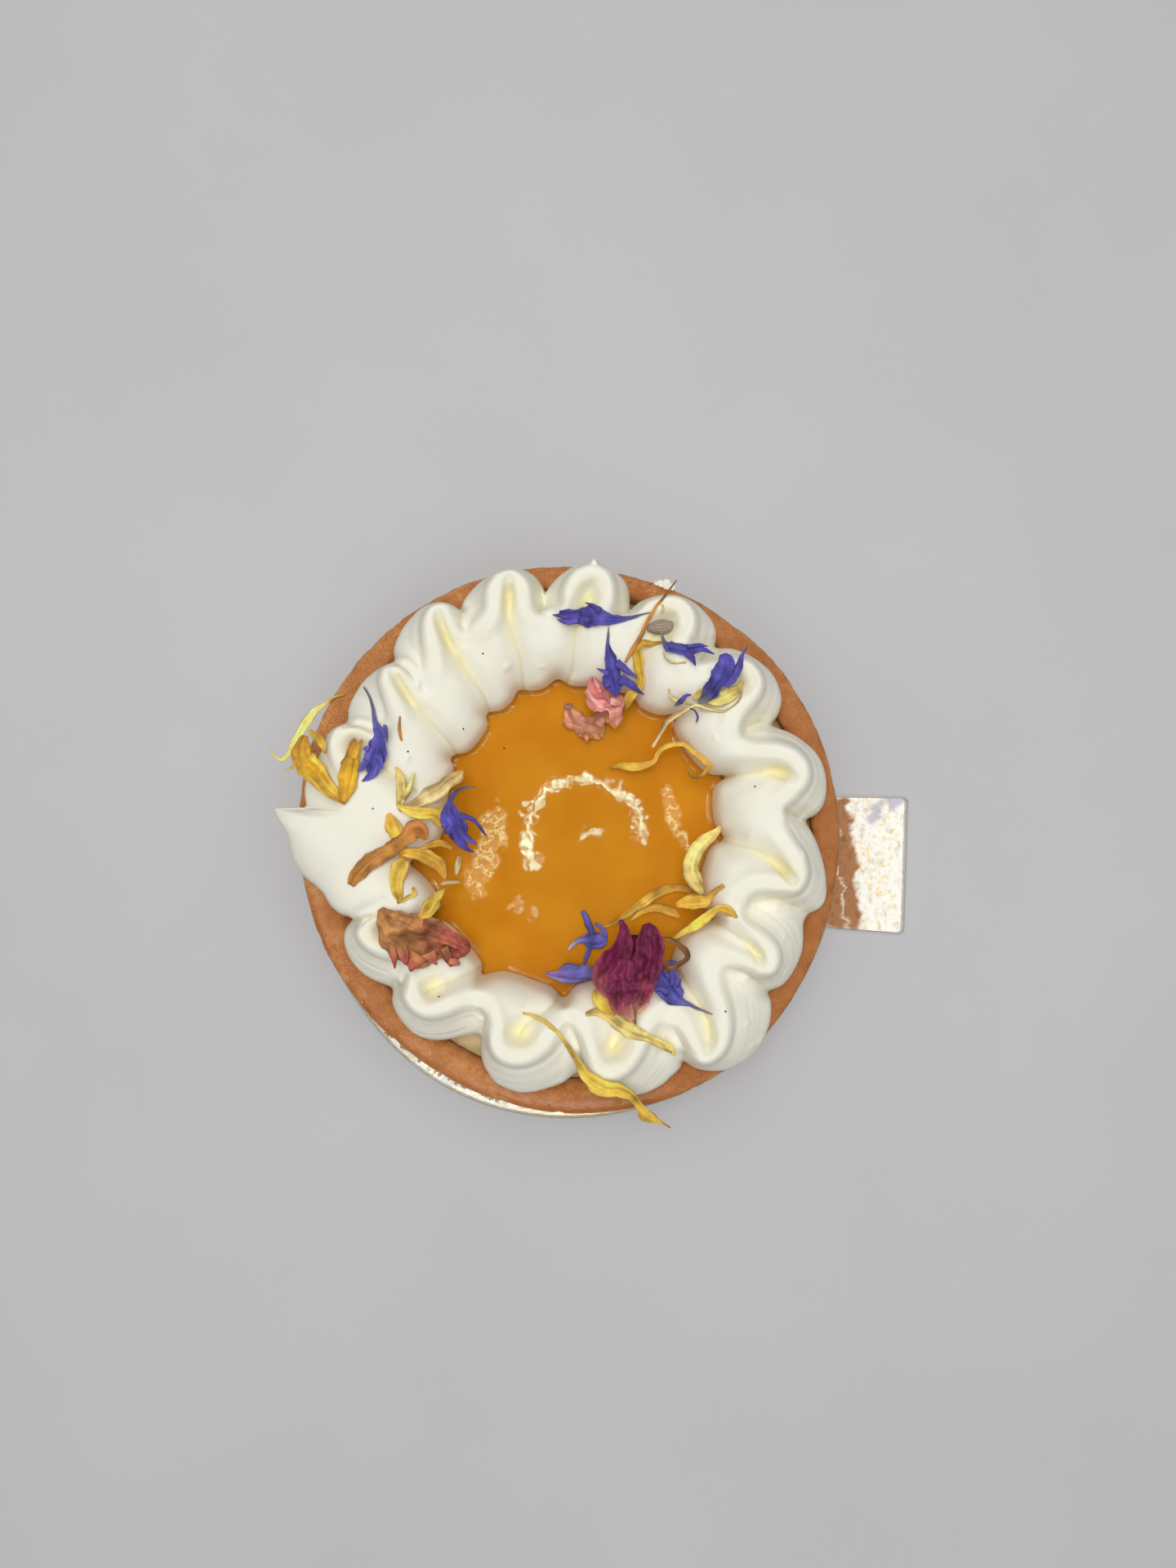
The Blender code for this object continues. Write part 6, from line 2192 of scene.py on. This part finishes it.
    def closed(self, lower: Array, v: Array) -> tuple[Array, Array]:
        """A thin closed sheet over its lower face: its points, and its quads.

        Args:
            lower: the lower face.
            v: the shares across it.

        Returns:
            Its points and its quads.
        """
        slope = [np.gradient(lower, axis=axis) for axis in (0, 1)]
        steep = sum((run[..., 2] ** 2 / np.maximum(run[..., 0] ** 2 + run[..., 1] ** 2, 1e-6))
                    for run in slope)
        edge = np.clip((1.0 - np.abs(v)) / self.thin_within, self.thin_edge, 1.0)
        upper = lower.copy()
        upper[..., 2] += self.thickness * np.minimum(np.sqrt(1.0 + steep), self.steepest) * edge
        rows, columns = lower.shape[:2]
        count = rows * columns
        top = grid_faces(rows, columns, False)
        index = np.arange(count).reshape(rows, columns)
        rim = np.concatenate([index[:-1, 0], index[-1, :-1], index[:0:-1, -1], index[0, :0:-1]])
        after = np.roll(rim, -1)
        side = np.stack([rim, after, count + after, count + rim], axis=-1)
        self.ground.raise_to(*(self.finer(upper[..., k]) for k in range(3)))
        return (np.concatenate([lower.reshape(-1, 3), upper.reshape(-1, 3)]),
                np.concatenate([top[:, ::-1], top + count, side]))

    def lay(self, petal: Petal, number: int) -> bpy.types.Object:
        """Make one petal from its ribbons, each laid on the ones before it.

        Args:
            petal: the petal.
            number: its place in the list.

        Returns:
            The finished piece.
        """
        habit = HABITS[petal.slot]
        parts, colours, fibres = [], [], []
        for place, ribbon in enumerate(petal.ribbons):
            seed = 7.3 * number + 3.1 * place
            lower, relief, v = self.sheet(self.measured(petal.crop, ribbon), habit, seed)
            parts.append(self.closed(lower, v))
            start = 0.0 if petal.whole or place == 0 else 0.5
            shade, fibre = self.colour(petal.tint, start, lower, relief, v, habit, seed)
            colours += [shade, shade]
            fibres += [fibre, fibre]
        item = joined(f"{petal.node}_dried" if petal.node else f"petal_scrap_{number}", parts)
        put_colours(item, "tint", np.concatenate(colours))
        put_values(item, "fibre", np.concatenate(fibres))
        finish = PetalFinish(f"dried_{petal.slot}", clear=0.15 if petal.slot in ("pale", "amber") else 0.0)
        return hand_over(item, finish, petal.slot, *([petal.node] if petal.node else []))

    @staticmethod
    def finer(values: Array) -> Array:
        """A grid of numbers with four steps between each two rows and columns.

        Args:
            values: the grid.

        Returns:
            The finer grid.
        """
        for axis in (0, 1):
            count = values.shape[axis]
            place = np.linspace(0, count - 1, 4 * (count - 1) + 1)
            low = np.minimum(place.astype(int), count - 2)
            share = (place - low).reshape((-1, 1) if axis == 0 else (1, -1))
            values = (np.take(values, low, axis=axis) * (1 - share)
                      + np.take(values, low + 1, axis=axis) * share)
        return values

    def colour(self, tint: Tint, start: float, lower: Array, relief: Array, v: Array,
               habit: Habit, seed: float) -> tuple[Array, Array]:
        """A ribbon's colours and fibres.

        The tint's stops run along it; valleys of the relief are darker than ridges, as
        painted shade, and streaks, blotches and the edge vary them further.

        Args:
            tint: the petal's tint.
            start: the share of the tint at the ribbon's root.
            lower: the ribbon's lower face.
            relief: its pleats and crumples.
            v: the shares across it.
            habit: how its kind dries.
            seed: shifts the noise.

        Returns:
            One colour and one fibre height for each point.
        """
        u = start + (1.0 - start) * np.linspace(0.0, 1.0, len(lower))
        at = [share for share, _ in tint.value]
        base = np.stack([np.interp(u, at, [colour[k] for _, colour in tint.value])
                         for k in range(3)], axis=-1)[:, None, :] + np.zeros(lower.shape)
        grid = np.stack(np.broadcast_arrays(u[:, None] * 3.0, v * 2.0 * habit.ribs, seed), axis=-1)
        streak = self.noise.layered(grid, 1.0, 2)
        blotch = self.noise.layered(lower + seed, 1.8, 2)
        edge = held((np.abs(v) - 0.75) / 0.25)
        tone = 1.0 + self.streak * streak + self.blotch * blotch + habit.edge * edge
        # Painted shade in the relief's valleys and painted light on its ridges.
        tone = tone + self.relief_shade * relief
        fibre = 0.5 + 0.5 * np.cos(math.pi * 4.0 * habit.ribs * v) + 0.0 * u[:, None]
        tone = np.clip(tone, 0.35, 1.6)[..., None]
        return held(base * tone).reshape(-1, 3), fibre.ravel()


# ---------------------------------------------------------------- small bits
@dataclass
class SmallBits:
    """Vanilla seeds on the cream, crumbs on the crust, and a smear of cream on the rim."""

    ground: PlanMap
    shell: TartShell
    crumbs: int = 30
    flakes: int = 110
    flakes_at: float = 234.0
    flakes_spread: float = 17.0
    seed_half: float = 0.13
    sides: int = 9
    noise: Noise = field(default_factory=lambda: Noise(101))

    # Vanilla seeds: places in the picture.
    seeds: tuple[Point, ...] = (
        (591, 800), (567, 892), (499, 920), (456, 990), (925, 963), (889, 1239), (537, 1221), (617, 916))
    # The smear of cream on the rim: place in the picture and half width of each lump.
    smear: tuple[Triple, ...] = ((816, 717, 0.75), (809, 715, 0.6), (823, 720, 0.6), (804, 715, 0.35))

    def lump(self, x: float, y: float, half: float, flat: float, sink: float,
             seed: float, level: Optional[float] = None) -> tuple[Array, Array]:
        """A small rough ball, flattened, resting on the ground.

        Args:
            x: place in plan.
            y: place in plan.
            half: half width in millimetres.
            flat: height over width.
            sink: share of its height below the ground.
            seed: shifts the noise.
            level: what it rests on, where that isn't the ground map.

        Returns:
            Its points and its quads.
        """
        polar = np.linspace(0.12, math.pi - 0.12, self.sides)[:, None]
        around = np.arange(self.sides + 3) * TURN / (self.sides + 3)
        ball = np.stack([np.sin(polar) * np.cos(around), np.sin(polar) * np.sin(around),
                         np.cos(polar) + 0.0 * around], axis=-1)
        ball = ball * (1.0 + 0.5 * self.noise.layered(ball + seed, 0.7, 2))[..., None] * half
        ball[0], ball[-1] = ball[0].mean(axis=0), ball[-1].mean(axis=0)
        ball[..., 2] *= flat
        if level is None:
            level = float(self.ground.sample(np.array([x]), np.array([y]))[0])
        ball = ball + (x, y, level + half * flat * (1.0 - 2.0 * sink))
        return ball.reshape(-1, 3), grid_faces(self.sides, self.sides + 3, True)

    def rim_spots(self) -> list[tuple[float, float, float]]:
        """Random places on the rim and beside the card's edge, with a half width for each.

        Returns:
            Rows of x, y and half width.
        """
        draw = np.random.default_rng(17)
        angle = draw.uniform(0.0, TURN, self.crumbs)
        outer = self.shell.outer(angle)
        reach = outer - draw.uniform(0.15, 1.5, self.crumbs)
        half = draw.uniform(0.08, 0.17, self.crumbs) * (1.0 + 0.5 * (angle > 3.3) * (angle < 5.2))
        x, y = reach * np.cos(angle), reach * np.sin(angle)
        clear = self.ground.sample(x, y) < LEVELS.rim_top + 0.6
        return list(zip(x[clear], y[clear], half[clear]))

    def card_spots(self) -> list[tuple[float, float, float]]:
        """Random places on the card's open crescent, with a half width for each.

        Returns:
            Rows of x, y and half width.
        """
        draw = np.random.default_rng(29)
        angle = np.radians(draw.normal(self.flakes_at, self.flakes_spread, self.flakes))
        reach = self.shell.outer(angle) + 4.3 - draw.exponential(0.7, self.flakes)
        half = draw.uniform(0.12, 0.34, self.flakes)
        return [(r * math.cos(a), r * math.sin(a), h) for a, r, h in zip(angle, reach, half)]

    def build(self) -> None:
        """Join each kind of bit into one piece."""
        seeds = [self.lump(x, y, self.seed_half, 0.6, 0.3, 3.0 * k)
                 for k, (x, y, _) in enumerate(PICTURE.on_ground(self.seeds, self.ground))]
        hand_over(joined("vanilla_seeds", seeds), SpeckFinish("vanilla_seed"), "brown")
        crumbs = [self.lump(x, y, half, 0.8, 0.3, 2.0 * k)
                  for k, (x, y, half) in enumerate(self.rim_spots())]
        hand_over(joined("loose_crumbs", crumbs), CrustFinish("crumb", middle=(0.62, 0.26, 0.07)), "crust")
        flakes = [self.lump(x, y, half, 0.5, 0.2, 4.0 * k, LEVELS.card_top)
                  for k, (x, y, half) in enumerate(self.card_spots())]
        hand_over(joined("card_flakes", flakes), FillingFinish("pale_flake"), "pale")
        places = PICTURE.plan(self.smear, LEVELS.rim_top)
        smear = [self.lump(x, y, half, 0.35, 0.25, 5.0 * k)
                 for k, ((x, y), (_, _, half)) in enumerate(zip(places, self.smear))]
        hand_over(joined("cream_smear", smear), CreamFinish("smeared_cream"), "cream")


@dataclass
class SeedHead:
    """The small grey seed head: a stretched ball with a blunt end and fine grooves."""

    ground: PlanMap
    pick: Point = (810, 764)
    pick_level: float = 32.0
    half: Triple = (1.9, 0.95, 0.8)
    heading: float = 8.0
    blunt: float = 0.12
    rough: float = 0.08
    gap: float = 0.03
    sides: int = 56
    grooves: int = 14
    groove_share: float = 0.05
    dark: Colour = (0.23, 0.165, 0.12)
    lighter: Colour = (0.30, 0.26, 0.20)
    noise: Noise = field(default_factory=lambda: Noise(97))

    def build(self) -> bpy.types.Object:
        """A sphere by two angles, stretched along its axis, grooved round it.

        Returns:
            The finished piece.
        """
        polar = np.linspace(0.0, math.pi, 42)[1:-1, None]
        around = np.arange(self.sides) * TURN / self.sides
        groove = 1.0 + self.groove_share * np.cos(self.grooves * around) * np.sin(polar)
        x = -np.cos(polar) * self.half[0] + 0.0 * around
        blunt = 1.0 + self.blunt * x / self.half[0]
        y = np.sin(polar) * np.cos(around) * self.half[1] * blunt * groove
        z = np.sin(polar) * np.sin(around) * self.half[2] * groove
        grid = np.stack([x, y, z], axis=-1)
        grid = grid * (1.0 + self.rough * self.noise.layered(grid, 0.9, 2))[..., None]
        poles = np.array([(-self.half[0], 0.0, 0.0), (self.half[0], 0.0, 0.0)])
        points = np.vstack([grid.reshape(-1, 3), poles])
        at = math.radians(self.heading)
        turn = np.array([[math.cos(at), math.sin(at), 0.0], [-math.sin(at), math.cos(at), 0.0],
                         [0.0, 0.0, 1.0]])
        points = points @ turn + (*PICTURE.plan((self.pick,), self.pick_level)[0], 0.0)
        floor = self.ground.sample(points[:, 0], points[:, 1])
        points[:, 2] += np.percentile(floor - points[:, 2], 97) + self.gap
        seed = capped("grey_seed_head", points, self.sides)
        self.ground.raise_to(points[:, 0], points[:, 1], points[:, 2])
        tone = 0.5 + 0.5 * np.cos(self.grooves * around) + 0.0 * polar
        tone = np.concatenate([tone.ravel(), [0.5, 0.5]])[:, None]
        put_colours(seed, "tint", self.dark + tone * np.array(self.lighter))
        put_values(seed, "fibre", tone[:, 0])
        return hand_over(seed, PetalFinish("dried_grey", roughness=0.7), "grey", "seed_head")


# ---------------------------------------------------------------- the studio
@dataclass
class Studio:
    """The pale floor, the soft lights and the camera above the tart."""

    focal: float = PICTURE.focal
    frame_height: float = PICTURE.height
    sensor: float = 36.0
    eye: Triple = PICTURE.eye
    pitch: float = PICTURE.pitch
    floor_half: float = 2500.0
    floor_gap: float = 0.02
    lamp_height: float = 720.0
    ring_centre: Point = (1.0, 3.0)
    ring_radius: float = 54.0
    ring_half: float = 0.7
    ring_from: float = -8.0
    ring_to: float = 214.0
    sparks: int = 420
    spark_spread: float = 3.6
    small_centre: Point = (11.0, 0.0)
    small_radius: float = 7.5
    small_half: float = 0.9
    glint_spread: float = 5.0
    glint_count: int = 14
    glint_radius: float = 1.2
    surround: float = 0.13

    # Two groups of glints on the gel: places in the picture.
    glints: tuple[Point, ...] = ((637, 1143), (616, 1131))

    # Soft boxes: name, place, side lengths in millimetres, power in watts and whether a
    # gloss shows them.
    boxes: tuple[tuple, ...] = (("right", (260.0, -20.0, 600.0), (280.0, 560.0), 0.56, True),
                    ("left", (-270.0, 40.0, 600.0), (280.0, 560.0), 0.44, True),
                    ("back", (0.0, 280.0, 600.0), (260.0, 300.0), 0.6, True),
                    ("front", (-30.0, -290.0, 600.0), (260.0, 300.0), 0.45, True),
                    ("top", (-20.0, 40.0, 600.0), (200.0, 200.0), 1.5, False))

    def floor(self) -> bpy.types.Object:
        """A flat square under the card, from four corners.

        Returns:
            The floor.
        """
        half = self.floor_half
        corners = np.array([(x * half, y * half, -self.floor_gap)
                            for x, y in ((-1, -1), (1, -1), (1, 1), (-1, 1))])
        floor = put_mesh("studio_floor", corners, np.array([[0, 1, 2, 3]]), smooth=False)
        floor.data.materials.append(PlainFinish("pale_floor").material())
        return floor

    def lights(self) -> None:
        """Area lights that look straight down, and an even pale surround."""
        for name, place, size, power, shown in self.boxes:
            data = bpy.data.lights.new(f"soft_box_{name}", "AREA")
            data.shape = "RECTANGLE"
            data.size, data.size_y = size[0] * MM, size[1] * MM
            data.energy = power
            light = bpy.data.objects.new(data.name, data)
            light.location = [value * MM for value in place]
            light.visible_glossy = shown
            bpy.context.scene.collection.objects.link(light)
        world = bpy.data.worlds.new("surround")
        world.use_nodes = True
        back = world.node_tree.nodes["Background"]
        back.inputs["Color"].default_value = (*WHITE, 1.0)
        back.inputs["Strength"].default_value = self.surround
        bpy.context.scene.world = world

    def ring_light(self) -> None:
        """A bright open ring far above, which shows as an arc on the gel."""
        turn = np.radians(np.linspace(self.ring_from, self.ring_to, 90))
        draw = np.random.default_rng(41)
        centre = (*self.ring_centre, self.lamp_height)
        bow = [self.arc(turn, self.ring_radius, self.ring_half, centre)]
        for start, spread, size in zip(draw.uniform(turn[0], turn[-1], self.sparks),
                                       draw.normal(0.0, self.spark_spread, self.sparks),
                                       draw.uniform(0.25, 0.9, self.sparks)):
            span = np.linspace(start, start + size / 14.0, 3)
            bow.append(self.arc(span, self.ring_radius + spread, size, centre))
        spread = self.glint_spread
        for x, y in self.mirrored(self.glints):
            low, high = (-spread, -spread, 0.3), (spread, spread, 1.0)
            for off_x, off_y, size in draw.uniform(low, high, (self.glint_count, 3)):
                place = (x + off_x, y + off_y, self.lamp_height)
                bow.append(self.arc(np.linspace(0.0, 1.0, 3), self.glint_radius, size, place))
        centre = (*self.small_centre, self.lamp_height)
        half_turn = np.linspace(0.0, math.pi, 24)
        small = self.arc(half_turn, self.small_radius, self.small_half, centre)
        lamp = joined("ring_lamp", bow + [small])
        board = NodeBoard("lamp_glow")
        board.drive("Emission Strength", board.span(board.noise(3.0, 3.0, 0.7), 0.40, 0.60, 8.0, 34.0))
        board.shader.inputs["Emission Color"].default_value = (0.55, 1.0, 0.80, 1.0)
        board.shader.inputs["Base Color"].default_value = (*BLACK, 1.0)
        lamp.data.materials.append(board.material)
        lamp.visible_camera = lamp.visible_diffuse = lamp.visible_shadow = False

    def mirrored(self, picks: object) -> Array:
        """Places at the lamp's height that the level gel mirrors at the picks.

        Args:
            picks: places in the picture.

        Returns:
            One row of x and y for each pick.
        """
        eye, level = np.array(self.eye), LEVELS.gel_middle
        on_gel = PICTURE.plan(picks, level)
        return on_gel + (on_gel - eye[:2]) * (self.lamp_height - level) / (eye[2] - level)

    @staticmethod
    def arc(turn: Array, radius: float, half: float, centre: tuple) -> tuple[Array, Array]:
        """A flat band along part of a circle: two edges at radius plus and minus half."""
        rows = [np.stack([centre[0] + r * np.cos(turn), centre[1] + r * np.sin(turn),
                          centre[2] + 0 * turn], axis=-1) for r in (radius - half, radius + half)]
        return np.concatenate(rows), grid_faces(2, len(turn), False)

    def camera(self) -> None:
        """The camera at the picture's place: above the tart, pitched a little forward."""
        data = bpy.data.cameras.new("overhead_camera")
        data.sensor_width = self.sensor
        data.lens = self.focal / self.frame_height * self.sensor
        data.clip_start, data.clip_end = 0.01, 10.0
        camera = bpy.data.objects.new("overhead_camera", data)
        camera.location = [value * MM for value in self.eye]
        camera.rotation_euler = (math.radians(self.pitch), 0.0, 0.0)
        bpy.context.scene.collection.objects.link(camera)
        bpy.context.scene.camera = camera

    def build(self) -> None:
        """Set up the floor, the lights, the camera and a plain view of the colours."""
        self.floor()
        self.lights()
        self.ring_light()
        self.camera()
        bpy.context.scene.view_settings.view_transform = "Standard"


def ground_map(cream: PipedCream, shell: TartShell) -> PlanMap:
    """Heights of everything the petals can lie on: the cream, the gel, the rim, the filling.

    Args:
        cream: the finished ruffle.
        shell: the shell.

    Returns:
        The map that petals are laid on.
    """
    ground = PlanMap(LEVELS.filling_top)
    skirt, sand, swell, cream_foot = 0.2, 0.25, 0.12, 21.5
    reach = np.hypot(ground.x, ground.y)
    outer = shell.outer(np.arctan2(ground.y, ground.x))
    on_rim = (reach < outer + skirt) & (reach > outer - shell.wall - skirt)
    ground.height = np.where(reach > outer + skirt, LEVELS.rim_top, ground.height)
    ground.height = np.where(on_rim, LEVELS.rim_top + sand, ground.height)
    ground.height = np.where(reach < CitrusGel.radius, LEVELS.gel_middle + swell, ground.height)
    top = cream.plan.height
    ground.height = np.maximum(ground.height, np.where(top > cream_foot, top, 0.0))
    return ground


def main() -> None:
    """Build the tart from the card upwards, then the studio."""
    logging.basicConfig(level=logging.INFO, format="%(name)s: %(message)s")
    CakeCard().build()
    shell = TartShell()
    shell.build()
    CitrusFilling(shell).build()
    cream = PipedCream(shell)
    cream.build()
    CitrusGel(cream).build()
    ground = ground_map(cream, shell)
    bare = ground.height.copy()
    SeedHead(ground).build()
    SmallBits(ground, shell).build()
    DriedPetals(ground, bare).build()
    Studio().build()


if __name__ == "__main__":
    main()
